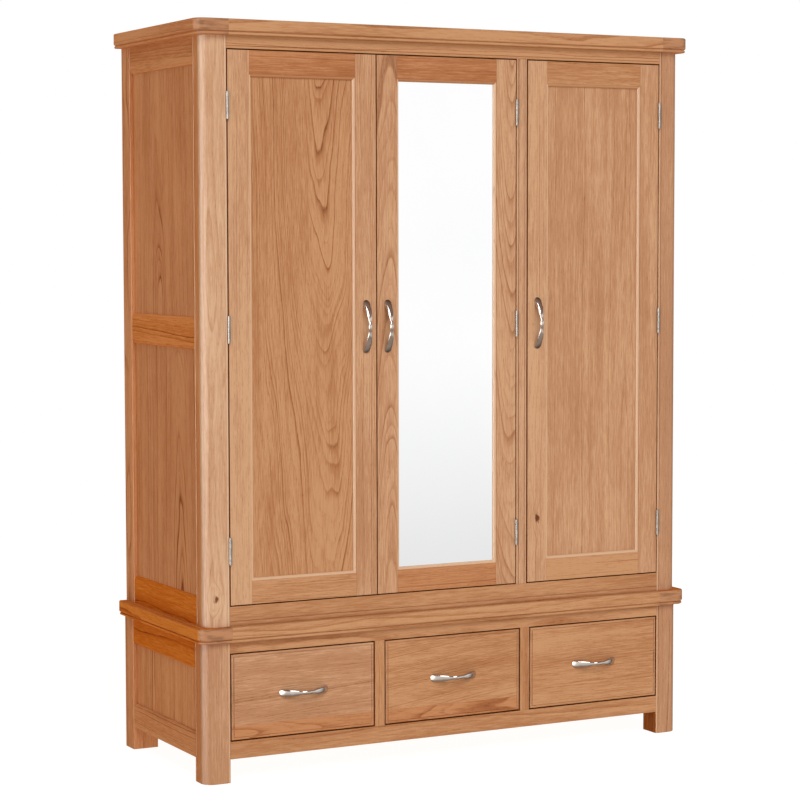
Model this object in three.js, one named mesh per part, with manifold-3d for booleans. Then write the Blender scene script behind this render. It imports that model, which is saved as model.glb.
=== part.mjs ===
// A wardrobe with three doors over three drawers, framed and panelled in oak.
// Millimetres. X runs across the front, Y from the front to the back and Z up.
// The origin is at floor level, in the middle of the plan with the handles counted in.

import * as THREE from "three";
import { mergeVertices } from "three/addons/utils/BufferGeometryUtils.js";
import Module from "manifold-3d";

const wasm = await Module();
wasm.setup();

// ---- driving dimensions ----

const HEIGHT = 1950;
const BODY_DEPTH = 556; // front face of the posts to the back
const HANDLE_REACH = 30;
const OPENING_HALF = 654; // middle to the inner face of every post

const SLAB_WIDTH = 1484; // waist board and cornice
const SLAB_THICKNESS = 40;
const SLAB_OVERHANG = 18;
const CORNER_ROUND = 30;

const BASE_HALF = 725; // middle to the outer face of a base post
const CABINET_HALF = 720;
const FRONT_POST_DEPTH = 65;
const BACK_POST_DEPTH = 58;
const WAIST_Z = 366; // underside of the waist board

const RAIL_THICKNESS = 22;
const RAIL_SETBACK = 2; // side rails lie behind the posts' outer faces
const BASE_RAIL_Z = 61.5; // underside of the base's lowest rails
const BASE_FRONT_RAIL_TOP = 107;
const BASE_TOP_RAIL_Z = 336;
const BASE_SIDE_RAIL_TOP = 120;
const BASE_SIDE_TOP_RAIL_Z = 299;
const BOTTOM_RAIL_TOP = 457;
const FRIEZE_Z = 1877;
const SIDE_RAIL_ZS = { bottomTop: 472, midBottom: 1122, midTop: 1190, topBottom: 1846 };

const BEAD = 6; // width of the rounded bead on an arris
const FOOT_BEAD = 12; // wider bead along the foot of the cabinet
const BEAD_DEPTH = 1.8;
const QUIRK = 1.5; // narrow groove beside a bead
const MOULDING = 7; // quarter-round round a panel
const MOULDING_STEP = 1.5;
const PANEL_RECESS = MOULDING + MOULDING_STEP;
const ARRIS = 4; // rounding of the waist board's and cornice's edges
const SLAB_BEAD_HEIGHT = 7; // bead along the underside of each
const SLAB_BEAD_SETBACK = 2; // of that bead behind the face
const SLAB_BEAD_ROUND = 3;
const SLAB_QUIRK_DEPTH = 5;

const SIDE_PANEL_THICKNESS = 9;
const BACK_THICKNESS = 6;
const BACK_INSET = 5;
const BASE_BACK_THICKNESS = 12;
const FLOOR_THICKNESS = 18;
const DUST_BOARD_THICKNESS = 12;

const DOOR_COUNT = 3;
const DOOR_GAP = 3;
const DOOR_THICKNESS = 22;
const STILE = 60;
const DOOR_DIVIDER = 32;
const PARTITION_THICKNESS = 18;
const DOOR_PANEL_THICKNESS = 5;

const DRAWER_DIVIDER = 28.5;
const DRAWER_DIVIDER_DEPTH = 45;
const DRAWER_GAP = 3.5;
const DRAWER_FRONT_THICKNESS = 20;
const DRAWER_WIDTH_LOSS = 24; // opening width less box width
const DRAWER_BOX_DEPTH = 470;
const DRAWER_BOX_TOP = 300;
const DRAWER_SIDE = 12;
const DRAWER_BOTTOM = 6;
const DRAWER_BOTTOM_LIFT = 8;
const RUNNING_GAP = 1;
const GUIDE_HEIGHT = 40;

const HANDLE_LENGTH = 140;
const HANDLE_THICKNESS = 7; // at the middle of the bow
const HANDLE_GRIP_LENGTH = 104; // between the feet
const HANDLE_END_WIDTH = 19;
const HANDLE_WAIST_WIDTH = 11;
const HANDLE_TIP = 12; // length of the rounded tip

const KNUCKLE_RADIUS = 4;
const KNUCKLE_LENGTH = 70;
const KNUCKLE_GAP = 0.5;
const LEAF_THICKNESS = 0.9;
const LEAF_DEPTH = 16;
const HINGE_SPACING = 567;

const HANGING_RAIL_RADIUS = 12.5;
const HANGING_RAIL_Z = 1790;

const CURVE_STEPS = 8; // straight lengths along a rounded corner
const BEAD_STEPS = 6;
const MOULDING_STEPS = 4;
const EDGE_STEPS = 3;
const HANDLE_STEPS = 12;
const TUBE_STEPS = 16;
const KNUCKLE_STEPS = 12;
const CUT_BEYOND = 1; // how far a cutting solid runs past what it cuts

// ---- derived places ----

const FRONT = (HANDLE_REACH - BODY_DEPTH) / 2;
const BACK = FRONT + BODY_DEPTH;
const WAIST_TOP = WAIST_Z + SLAB_THICKNESS;
const CORNICE_Z = HEIGHT - SLAB_THICKNESS;
const FRONT_POST_BACK = FRONT + FRONT_POST_DEPTH;
const BACK_POST_FRONT = BACK - BACK_POST_DEPTH;
const RAIL_BACK = FRONT + RAIL_THICKNESS;
const BACK_PANEL_Y = BACK - BACK_INSET - BACK_THICKNESS;
const BASE_BACK_Y = BACK - BACK_INSET - BASE_BACK_THICKNESS;
const SIDE_INNER = CABINET_HALF - RAIL_SETBACK - RAIL_THICKNESS;
const SIDE_PANEL_INNER = CABINET_HALF - RAIL_SETBACK - PANEL_RECESS - SIDE_PANEL_THICKNESS;
const BASE_SIDE_INNER = BASE_HALF - RAIL_SETBACK - RAIL_THICKNESS;

const DOOR_HEIGHT = FRIEZE_Z - BOTTOM_RAIL_TOP - 2 * DOOR_GAP;
const DOOR_WIDTH = (2 * OPENING_HALF - DOOR_DIVIDER - (DOOR_COUNT + 2) * DOOR_GAP) / DOOR_COUNT;
const DOOR_Z = BOTTOM_RAIL_TOP + DOOR_GAP;
const LEFT_DOOR_X = -OPENING_HALF + DOOR_GAP;
const MIRROR_DOOR_X = LEFT_DOOR_X + DOOR_WIDTH + DOOR_GAP;
const DIVIDER_X = MIRROR_DOOR_X + DOOR_WIDTH + DOOR_GAP;
const RIGHT_DOOR_X = DIVIDER_X + DOOR_DIVIDER + DOOR_GAP;
const PARTITION_X = DIVIDER_X + (DOOR_DIVIDER - PARTITION_THICKNESS) / 2;

const DRAWER_OPENING = (2 * OPENING_HALF - 2 * DRAWER_DIVIDER) / 3;
const DRAWER_FRONT_WIDTH = DRAWER_OPENING - 2 * DRAWER_GAP;
const DRAWER_FRONT_HEIGHT = BASE_TOP_RAIL_Z - BASE_FRONT_RAIL_TOP - 2 * DRAWER_GAP;
const DRAWER_FRONT_Z = BASE_FRONT_RAIL_TOP + DRAWER_GAP;
const DRAWER_BOX_WIDTH = DRAWER_OPENING - DRAWER_WIDTH_LOSS;

// ---- materials ----

function finish(color, roughness, metalness) {
  return new THREE.MeshStandardMaterial({ color, roughness, metalness });
}

const OAK = finish(0xc6966e, 0.5, 0);
const SIDE_OAK = finish(0xb2764e, 0.5, 0);
const INNER_OAK = finish(0xd2b48c, 0.6, 0);
const NICKEL = finish(0xb9b4ad, 0.25, 1);
const SILVERED_GLASS = finish(0xe8ecee, 0.05, 1);

// ---- shaping ----

// A box between two corners.
function block(x0, x1, y0, y1, z0, z1) {
  const geometry = new THREE.BoxGeometry(x1 - x0, y1 - y0, z1 - z0);
  return geometry.translate((x0 + x1) / 2, (y0 + y1) / 2, (z0 + z1) / 2);
}

function shapeOf(points) {
  return new THREE.Shape(points.map(([a, b]) => new THREE.Vector2(a, b)));
}

function rectangle(a0, a1, b0, b1) {
  return shapeOf([[a0, b0], [a1, b0], [a1, b1], [a0, b1]]);
}

// A rectangle with a smaller one left out of its middle.
function ring(width, height, outerInset, innerInset) {
  const shape = rectangle(outerInset, width - outerInset, outerInset, height - outerInset);
  shape.holes.push(rectangle(innerInset, width - innerInset, innerInset, height - innerInset));
  return shape;
}

// A shape pushed through a length, with its edges rounded where round is above 0.
function push(shape, length, round = 0) {
  const geometry = new THREE.ExtrudeGeometry(shape, {
    depth: length - 2 * round,
    bevelEnabled: round > 0,
    bevelThickness: round,
    bevelSize: round,
    bevelOffset: -round,
    bevelSegments: EDGE_STEPS,
    curveSegments: CURVE_STEPS,
  });
  return geometry.translate(0, 0, round);
}

const X_AXIS = new THREE.Vector3(1, 0, 0);
const Y_AXIS = new THREE.Vector3(0, 1, 0);
const Z_AXIS = new THREE.Vector3(0, 0, 1);
const FORWARD = new THREE.Vector3(0, -1, 0);

// An outline in X and Y, pushed up from z0 to z1.
function pushUp(shape, z0, z1, round = 0) {
  return push(shape, z1 - z0, round).translate(0, 0, z0);
}

// An outline in Y and Z, pushed across from x0 to x1.
function pushAcross(shape, x0, x1) {
  const turn = new THREE.Matrix4().makeBasis(Y_AXIS, Z_AXIS, X_AXIS);
  return push(shape, x1 - x0).applyMatrix4(turn).translate(x0, 0, 0);
}

// An outline in X and Z, pushed back from y0 to y1.
function pushBack(shape, y0, y1, round = 0) {
  const turn = new THREE.Matrix4().makeBasis(X_AXIS, Z_AXIS, FORWARD);
  return push(shape, y1 - y0, round).applyMatrix4(turn).translate(0, y1, 0);
}

function solidOf(geometry) {
  const bare = geometry.clone();
  bare.deleteAttribute("normal");
  bare.deleteAttribute("uv");
  const merged = mergeVertices(bare);
  return new wasm.Manifold(new wasm.Mesh({
    numProp: 3,
    vertProperties: merged.attributes.position.array,
    triVerts: Uint32Array.from(merged.index.array),
  }));
}

function geometryOf(solid) {
  const mesh = solid.getMesh();
  const geometry = new THREE.BufferGeometry();
  geometry.setAttribute("position", new THREE.BufferAttribute(mesh.vertProperties, 3));
  geometry.setIndex(new THREE.BufferAttribute(mesh.triVerts, 1));
  geometry.computeVertexNormals();
  return geometry;
}

function join(...geometries) {
  return geometryOf(geometries.map(solidOf).reduce((whole, piece) => whole.add(piece)));
}

function cut(geometry, ...tools) {
  return geometryOf(tools.map(solidOf).reduce((whole, tool) => whole.subtract(tool), solidOf(geometry)));
}

function common(first, second) {
  return geometryOf(solidOf(first).intersect(solidOf(second)));
}

function mesh(name, geometry, material) {
  const piece = new THREE.Mesh(geometry, material);
  piece.name = name;
  return piece;
}

// A rounded bead on an arris and the quirk beside it, flush with the face.
// Points are [distance from the arris along the face, depth below the face].
function beadProfile(width = BEAD) {
  const points = [];
  for (let i = 0; i <= BEAD_STEPS; i++) {
    const angle = (Math.PI * i) / BEAD_STEPS;
    points.push([(width / 2) * (1 - Math.cos(angle)), BEAD_DEPTH * (1 - Math.sin(angle))]);
  }
  points.push([width + QUIRK, BEAD_DEPTH], [width + QUIRK, 0]);
  return points;
}

// The quarter-round that runs down from a rail's face to the panel beside it.
// Points are [distance beyond the rail's flat, depth below its face].
function mouldingProfile() {
  const points = [[0, 0], [0, MOULDING_STEP]];
  for (let i = 0; i <= MOULDING_STEPS; i++) {
    const angle = (Math.PI / 2 * i) / MOULDING_STEPS;
    points.push([MOULDING * Math.sin(angle), MOULDING_STEP + MOULDING * (1 - Math.cos(angle))]);
  }
  return points;
}

// ---- posts ----

// Outlines are [across from the inner face, back from the front face].
function frontPostOutline(width) {
  const outline = beadProfile();
  for (let i = 0; i <= CURVE_STEPS; i++) {
    const angle = (Math.PI / 2 * i) / CURVE_STEPS;
    outline.push([
      width - CORNER_ROUND + CORNER_ROUND * Math.sin(angle),
      CORNER_ROUND - CORNER_ROUND * Math.cos(angle),
    ]);
  }
  for (const [along, deep] of beadProfile().reverse()) {
    outline.push([width - deep, FRONT_POST_DEPTH - along]);
  }
  outline.push([0, FRONT_POST_DEPTH]);
  return outline;
}

function backPostOutline(width) {
  const beaded = beadProfile().map(([along, deep]) => [width - deep, along]);
  return [[0, 0], ...beaded, [width, BACK_POST_DEPTH], [0, BACK_POST_DEPTH]];
}

function post(outline, side, frontY, z0, z1) {
  const placed = outline.map(([across, back]) => [side * (OPENING_HALF + across), frontY + back]);
  return pushUp(shapeOf(placed), z0, z1);
}

function posts(prefix, outerHalf, z0, z1) {
  const width = outerHalf - OPENING_HALF;
  const made = [];
  for (const [sideName, side] of [["left", -1], ["right", 1]]) {
    const front = post(frontPostOutline(width), side, FRONT, z0, z1);
    const back = post(backPostOutline(width), side, BACK_POST_FRONT, z0, z1);
    made.push(mesh(`${prefix}_front_${sideName}_post`, front, OAK));
    made.push(mesh(`${prefix}_back_${sideName}_post`, back, SIDE_OAK));
  }
  return made;
}

// ---- waist board and cornice ----

function slabShape(inset) {
  const half = SLAB_WIDTH / 2 - inset;
  const front = FRONT - SLAB_OVERHANG + inset;
  const round = CORNER_ROUND - inset;
  const behind = BACK + SLAB_OVERHANG;
  const shape = new THREE.Shape();
  shape.moveTo(-half, behind);
  shape.lineTo(-half, front + round);
  shape.absarc(-half + round, front + round, round, Math.PI, 1.5 * Math.PI, false);
  shape.lineTo(half - round, front);
  shape.absarc(half - round, front + round, round, 1.5 * Math.PI, 2 * Math.PI, false);
  shape.lineTo(half, behind);
  return shape;
}

// A board with rounded edges, a quirk and a bead along its underside, square at the back.
function slab(z0) {
  const beadTop = z0 + SLAB_BEAD_HEIGHT;
  const faceBottom = beadTop + QUIRK;
  const top = z0 + SLAB_THICKNESS;
  const bead = pushUp(slabShape(SLAB_BEAD_SETBACK), z0, beadTop, SLAB_BEAD_ROUND);
  const core = pushUp(slabShape(SLAB_QUIRK_DEPTH), beadTop - SLAB_BEAD_ROUND, faceBottom + ARRIS);
  const face = pushUp(slabShape(0), faceBottom, top, ARRIS);
  const behind = block(
    -SLAB_WIDTH, SLAB_WIDTH, BACK, BACK + SLAB_WIDTH, z0 - CUT_BEYOND, top + CUT_BEYOND);
  return cut(join(bead, core, face), behind);
}

// ---- base ----

// A rail across the front, with a bead on its lower arris where beadWidth is given.
function frontRail(z0, z1, beadWidth) {
  const lower = beadWidth
    ? beadProfile(beadWidth).map(([along, deep]) => [FRONT + deep, z0 + along])
    : [[FRONT, z0]];
  const outline = [...lower, [FRONT, z1], [RAIL_BACK, z1], [RAIL_BACK, z0]];
  return pushAcross(shapeOf(outline), -OPENING_HALF, OPENING_HALF);
}

// Two rails and the panel between them in one section, outer face at depth 0.
function baseSide(side) {
  const panelBack = PANEL_RECESS + SIDE_PANEL_THICKNESS;
  const lower = mouldingProfile().map(([beyond, deep]) => [deep, BASE_SIDE_RAIL_TOP + beyond]);
  const upper = mouldingProfile().map(([beyond, deep]) => [deep, BASE_SIDE_TOP_RAIL_Z - beyond]);
  const lowerTop = BASE_SIDE_RAIL_TOP + MOULDING;
  const upperBottom = BASE_SIDE_TOP_RAIL_Z - MOULDING;
  const section = [
    [0, BASE_RAIL_Z], ...lower, ...upper.reverse(), [0, WAIST_Z],
    [RAIL_THICKNESS, WAIST_Z], [RAIL_THICKNESS, upperBottom], [panelBack, upperBottom],
    [panelBack, lowerTop], [RAIL_THICKNESS, lowerTop], [RAIL_THICKNESS, BASE_RAIL_Z],
  ];
  const outerX = BASE_HALF - RAIL_SETBACK;
  const placed = section.map(([deep, z]) => [side * (outerX - deep), z]);
  return pushBack(shapeOf(placed), FRONT_POST_BACK, BACK_POST_FRONT);
}

// The plan of a board that fills the space between the posts and reaches the sides.
function floorShape(sideX, backY) {
  const plan = [
    [-OPENING_HALF, RAIL_BACK], [OPENING_HALF, RAIL_BACK], [OPENING_HALF, FRONT_POST_BACK],
    [sideX, FRONT_POST_BACK], [sideX, BACK_POST_FRONT], [OPENING_HALF, BACK_POST_FRONT],
    [OPENING_HALF, backY], [-OPENING_HALF, backY], [-OPENING_HALF, BACK_POST_FRONT],
    [-sideX, BACK_POST_FRONT], [-sideX, FRONT_POST_BACK], [-OPENING_HALF, FRONT_POST_BACK],
  ];
  return shapeOf(plan);
}

// The middle of each drawer opening.
const DRAWER_CENTRES = [-1, 0, 1].map((place) => place * (DRAWER_OPENING + DRAWER_DIVIDER));

// The board that the drawers run on, with a guide on each side of every drawer.
function dustBoard() {
  const z0 = BASE_FRONT_RAIL_TOP - DUST_BOARD_THICKNESS;
  const board = pushUp(floorShape(BASE_SIDE_INNER, BASE_BACK_Y), z0, BASE_FRONT_RAIL_TOP);
  const y0 = FRONT + DRAWER_DIVIDER_DEPTH;
  const y1 = BASE_BACK_Y;
  const top = BASE_FRONT_RAIL_TOP + GUIDE_HEIGHT;
  const reach = DRAWER_BOX_WIDTH / 2 + RUNNING_GAP;
  const [left, middle, right] = DRAWER_CENTRES;
  const guideXs = [
    [-OPENING_HALF, left - reach],
    [left + reach, middle - reach],
    [middle + reach, right - reach],
    [right + reach, OPENING_HALF],
  ];
  const guides = guideXs.map(([x0, x1]) => block(x0, x1, y0, y1, z0, top));
  return join(board, ...guides);
}

function base() {
  const group = new THREE.Group();
  group.add(...posts("base", BASE_HALF, 0, WAIST_Z));
  group.add(mesh("base_front_bottom_rail", frontRail(BASE_RAIL_Z, BASE_FRONT_RAIL_TOP), OAK));
  group.add(mesh("base_front_top_rail", frontRail(BASE_TOP_RAIL_Z, WAIST_Z), OAK));
  for (const [sideName, side] of [["left", -1], ["right", 1]]) {
    const inner = DRAWER_OPENING / 2;
    const xs = [side * inner, side * (inner + DRAWER_DIVIDER)].sort((a, b) => a - b);
    const divider = block(...xs, FRONT, FRONT + DRAWER_DIVIDER_DEPTH, BASE_FRONT_RAIL_TOP, BASE_TOP_RAIL_Z);
    group.add(mesh(`drawer_divider_${sideName}`, divider, OAK));
    group.add(mesh(`base_${sideName}_side`, baseSide(side), SIDE_OAK));
  }
  const backBoard = block(
    -OPENING_HALF, OPENING_HALF, BASE_BACK_Y, BASE_BACK_Y + BASE_BACK_THICKNESS, BASE_RAIL_Z, WAIST_Z);
  group.add(mesh("base_back_board", backBoard, INNER_OAK));
  group.add(mesh("base_dust_board", dustBoard(), INNER_OAK));
  group.add(mesh("waist_board", slab(WAIST_Z), OAK));
  return group;
}

// ---- cabinet ----

// A side rail's section: flat from z0 to z1, moulded below, above or both.
function sideRail(side, z0, z1, thickness, below, above) {
  const section = [];
  if (below) {
    const lower = mouldingProfile().map(([beyond, deep]) => [deep, z0 - beyond]).reverse();
    section.push([thickness, z0 - MOULDING], ...lower);
  } else {
    section.push([thickness, z0], [0, z0]);
  }
  if (above) {
    const upper = mouldingProfile().map(([beyond, deep]) => [deep, z1 + beyond]);
    section.push(...upper, [thickness, z1 + MOULDING]);
  } else {
    section.push([0, z1], [thickness, z1]);
  }
  const outerX = CABINET_HALF - RAIL_SETBACK;
  const placed = section.map(([deep, z]) => [side * (outerX - deep), z]);
  return pushBack(shapeOf(placed), FRONT_POST_BACK, BACK_POST_FRONT);
}

function sideMeshes(sideName, side) {
  const { bottomTop, midBottom, midTop, topBottom } = SIDE_RAIL_ZS;
  const panelXs = [side * SIDE_PANEL_INNER, side * (SIDE_PANEL_INNER + SIDE_PANEL_THICKNESS)];
  const [x0, x1] = panelXs.sort((a, b) => a - b);
  const panel = block(
    x0, x1, FRONT_POST_BACK, BACK_POST_FRONT, bottomTop + MOULDING, topBottom - MOULDING);
  const top = sideRail(side, topBottom, CORNICE_Z, RAIL_THICKNESS, true, false);
  const middle = sideRail(side, midBottom, midTop, PANEL_RECESS, true, true);
  const bottom = sideRail(side, WAIST_TOP, bottomTop, RAIL_THICKNESS, false, true);
  return [
    mesh(`cabinet_${sideName}_panel`, panel, SIDE_OAK),
    mesh(`cabinet_${sideName}_top_rail`, top, SIDE_OAK),
    mesh(`cabinet_${sideName}_middle_rail`, middle, SIDE_OAK),
    mesh(`cabinet_${sideName}_bottom_rail`, bottom, SIDE_OAK),
  ];
}

// The beaded divider between the mirror door and the right door, with the partition behind it.
function partition() {
  const leftBead = beadProfile().map(([along, deep]) => [DIVIDER_X + along, FRONT + deep]);
  const rightX = DIVIDER_X + DOOR_DIVIDER;
  const rightBead = beadProfile().map(([along, deep]) => [rightX - along, FRONT + deep]).reverse();
  const outline = [...leftBead, ...rightBead, [rightX, RAIL_BACK], [DIVIDER_X, RAIL_BACK]];
  const divider = pushUp(shapeOf(outline), BOTTOM_RAIL_TOP, FRIEZE_Z);
  const board = block(
    PARTITION_X, PARTITION_X + PARTITION_THICKNESS, RAIL_BACK, BACK_PANEL_Y, BOTTOM_RAIL_TOP, CORNICE_Z);
  return join(divider, board);
}

function hangingRail(x0, x1) {
  const geometry = new THREE.CylinderGeometry(HANGING_RAIL_RADIUS, HANGING_RAIL_RADIUS, x1 - x0, TUBE_STEPS);
  const middleY = (FRONT + BACK) / 2;
  return geometry.rotateZ(Math.PI / 2).translate((x0 + x1) / 2, middleY, HANGING_RAIL_Z);
}

function cabinet() {
  const group = new THREE.Group();
  group.add(...posts("cabinet", CABINET_HALF, WAIST_TOP, CORNICE_Z));
  group.add(mesh("cabinet_bottom_rail", frontRail(WAIST_TOP, BOTTOM_RAIL_TOP, FOOT_BEAD), OAK));
  group.add(mesh("cabinet_frieze_rail", frontRail(FRIEZE_Z, CORNICE_Z, BEAD), OAK));
  group.add(...sideMeshes("left", -1), ...sideMeshes("right", 1));
  group.add(mesh("cabinet_partition", partition(), OAK));
  const floor = pushUp(
    floorShape(SIDE_INNER, BACK_PANEL_Y), BOTTOM_RAIL_TOP - FLOOR_THICKNESS, BOTTOM_RAIL_TOP);
  group.add(mesh("cabinet_floor", floor, INNER_OAK));
  const backPanel = block(
    -OPENING_HALF, OPENING_HALF, BACK_PANEL_Y, BACK_PANEL_Y + BACK_THICKNESS, WAIST_TOP, CORNICE_Z);
  group.add(mesh("cabinet_back_panel", backPanel, INNER_OAK));
  group.add(mesh("hanging_rail_left", hangingRail(-SIDE_PANEL_INNER, PARTITION_X), NICKEL));
  const rightStart = PARTITION_X + PARTITION_THICKNESS;
  group.add(mesh("hanging_rail_right", hangingRail(rightStart, SIDE_PANEL_INNER), NICKEL));
  group.add(mesh("cornice", slab(CORNICE_Z), OAK));
  return group;
}

// ---- bow handle ----

// Height above the feet of a circular bow that spans a chord and rises to a crown.
function bowHeight(along, chord, crown) {
  const radius = (chord * chord / 4 + crown * crown) / (2 * crown);
  return Math.sqrt(radius * radius - along * along) - (radius - crown);
}

function bowPoints(chord, crown) {
  const points = [];
  for (let i = 0; i <= HANDLE_STEPS; i++) {
    const along = chord * (i / HANDLE_STEPS - 0.5);
    points.push([along, bowHeight(along, chord, crown)]);
  }
  return points;
}

// Half the handle's width: narrow at the middle, wide towards the tips, which are round.
function handleHalfWidth(along) {
  const tipStart = HANDLE_LENGTH / 2 - HANDLE_TIP;
  const beyond = Math.abs(along) - tipStart;
  const end = HANDLE_END_WIDTH / 2;
  if (beyond > 0) {
    return end * Math.sqrt(1 - (beyond / HANDLE_TIP) ** 2);
  }
  const waist = HANDLE_WAIST_WIDTH / 2;
  return waist + (end - waist) * Math.sin((Math.PI / 2) * (along / tipStart)) ** 2;
}

// A bow handle along X, its feet on the plane y = 0 and its crown towards -Y.
function bowHandle() {
  const outer = bowPoints(HANDLE_LENGTH, HANDLE_REACH);
  const inner = bowPoints(HANDLE_GRIP_LENGTH, HANDLE_REACH - HANDLE_THICKNESS).reverse();
  const side = shapeOf([...outer, ...inner].map(([along, up]) => [along, -up]));
  const bow = push(side, HANDLE_END_WIDTH).translate(0, 0, -HANDLE_END_WIDTH / 2);
  const edge = [];
  for (let i = 0; i <= HANDLE_STEPS; i++) {
    const along = -(HANDLE_LENGTH / 2) * Math.cos((Math.PI * i) / HANDLE_STEPS);
    edge.push([along, handleHalfWidth(along)]);
  }
  const mirrored = edge.slice(1, -1).reverse().map(([along, half]) => [along, -half]);
  const face = pushBack(shapeOf([...edge, ...mirrored]), -HANDLE_REACH - CUT_BEYOND, CUT_BEYOND);
  return common(bow, face);
}

// ---- butt hinge ----

// The knuckle on the pin's axis and the leaf on the door's edge, which lies on one side of it.
function hingeGeometry(doorSide) {
  const knuckle = new THREE.CylinderGeometry(KNUCKLE_RADIUS, KNUCKLE_RADIUS, KNUCKLE_LENGTH, KNUCKLE_STEPS);
  knuckle.rotateX(Math.PI / 2);
  const half = KNUCKLE_LENGTH / 2;
  const pinToFace = KNUCKLE_RADIUS + KNUCKLE_GAP;
  const edge = DOOR_GAP / 2;
  const [x0, x1] = [doorSide * edge, doorSide * (edge - LEAF_THICKNESS)].sort((a, b) => a - b);
  const leaf = block(x0, x1, 0, pinToFace + LEAF_DEPTH, -half, half);
  return join(knuckle, leaf);
}

// ---- doors ----

// The frame, with its moulding, between x = 0 and the door's width, its face on y = 0.
function doorFrame() {
  const flat = pushBack(ring(DOOR_WIDTH, DOOR_HEIGHT, 0, STILE), 0, DOOR_THICKNESS);
  const moulded = pushBack(
    ring(DOOR_WIDTH, DOOR_HEIGHT, STILE / 2, STILE + MOULDING),
    MOULDING_STEP, DOOR_THICKNESS - MOULDING_STEP, MOULDING);
  return join(flat, moulded);
}

function doorPanel() {
  const inset = STILE + MOULDING;
  return block(
    inset, DOOR_WIDTH - inset, PANEL_RECESS, PANEL_RECESS + DOOR_PANEL_THICKNESS,
    inset, DOOR_HEIGHT - inset);
}

// hingeSide is -1 for hinges on the door's left edge and 1 for its right edge.
function door(name, x0, hingeSide, panelName, panelMaterial) {
  const group = new THREE.Group();
  group.position.set(x0, FRONT, DOOR_Z);
  group.add(mesh(`${name}_frame`, doorFrame(), OAK));
  group.add(mesh(`${name}_${panelName}`, doorPanel(), panelMaterial));
  const handle = mesh(`${name}_handle`, bowHandle(), NICKEL);
  handle.rotation.y = Math.PI / 2;
  handle.position.set(hingeSide < 0 ? DOOR_WIDTH - STILE / 2 : STILE / 2, 0, DOOR_HEIGHT / 2);
  group.add(handle);
  for (const [place, step] of [["bottom", -1], ["middle", 0], ["top", 1]]) {
    const hinge = mesh(`${name}_hinge_${place}`, hingeGeometry(-hingeSide), NICKEL);
    const pinX = hingeSide < 0 ? -DOOR_GAP / 2 : DOOR_WIDTH + DOOR_GAP / 2;
    hinge.position.set(pinX, -(KNUCKLE_RADIUS + KNUCKLE_GAP), DOOR_HEIGHT / 2 + step * HINGE_SPACING);
    group.add(hinge);
  }
  return group;
}

// ---- drawers ----

// The front between x = 0 and its width, with a bead round its edge and its face on y = 0.
function drawerFront() {
  const width = DRAWER_FRONT_WIDTH;
  const height = DRAWER_FRONT_HEIGHT;
  const field = BEAD + QUIRK;
  const slabPart = pushBack(rectangle(0, width, 0, height), BEAD_DEPTH, DRAWER_FRONT_THICKNESS);
  const beads = pushBack(ring(width, height, 0, BEAD), 0, 2 * BEAD, BEAD_DEPTH);
  const fieldPart = pushBack(rectangle(field, width - field, field, height - field), 0, BEAD);
  return join(slabPart, beads, fieldPart);
}

// An open box behind the front, its bottom a little above the dust board.
function drawerBox() {
  const x0 = (DRAWER_FRONT_WIDTH - DRAWER_BOX_WIDTH) / 2;
  const x1 = x0 + DRAWER_BOX_WIDTH;
  const y0 = DRAWER_FRONT_THICKNESS;
  const y1 = y0 + DRAWER_BOX_DEPTH;
  const z0 = BASE_FRONT_RAIL_TOP + RUNNING_GAP - DRAWER_FRONT_Z;
  const z1 = DRAWER_BOX_TOP - DRAWER_FRONT_Z;
  const side = DRAWER_SIDE;
  const bottomTop = z0 + DRAWER_BOTTOM_LIFT + DRAWER_BOTTOM;
  const inside = block(x0 + side, x1 - side, y0 + side, y1 - side, bottomTop, z1 + CUT_BEYOND);
  const under = block(
    x0 + side, x1 - side, y0 + side, y1 - side, z0 - CUT_BEYOND, z0 + DRAWER_BOTTOM_LIFT);
  return cut(block(x0, x1, y0, y1, z0, z1), inside, under);
}

function drawer(name, centreX) {
  const group = new THREE.Group();
  group.position.set(centreX - DRAWER_FRONT_WIDTH / 2, FRONT, DRAWER_FRONT_Z);
  group.add(mesh(`${name}_front`, drawerFront(), OAK));
  group.add(mesh(`${name}_box`, drawerBox(), INNER_OAK));
  const handle = mesh(`${name}_handle`, bowHandle(), NICKEL);
  handle.position.set(DRAWER_FRONT_WIDTH / 2, 0, DRAWER_FRONT_HEIGHT / 2);
  group.add(handle);
  return group;
}

// ---- assembly ----

const group = new THREE.Group();
group.add(base());
group.add(cabinet());
group.add(door("left_door", LEFT_DOOR_X, -1, "panel", OAK));
group.add(door("mirror_door", MIRROR_DOOR_X, 1, "glass", SILVERED_GLASS));
group.add(door("right_door", RIGHT_DOOR_X, 1, "panel", OAK));
["left", "middle", "right"].forEach((place, i) => {
  group.add(drawer(`${place}_drawer`, DRAWER_CENTRES[i]));
});

export default group;
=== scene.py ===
"""An oak wardrobe with three doors, one of them a mirror, over three drawers.

Metres. X runs across the front, Y from the front to the back and Z up. Every place comes from
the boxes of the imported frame; the constants below are the sizes that those boxes don't give.
"""

import math
import random

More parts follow.
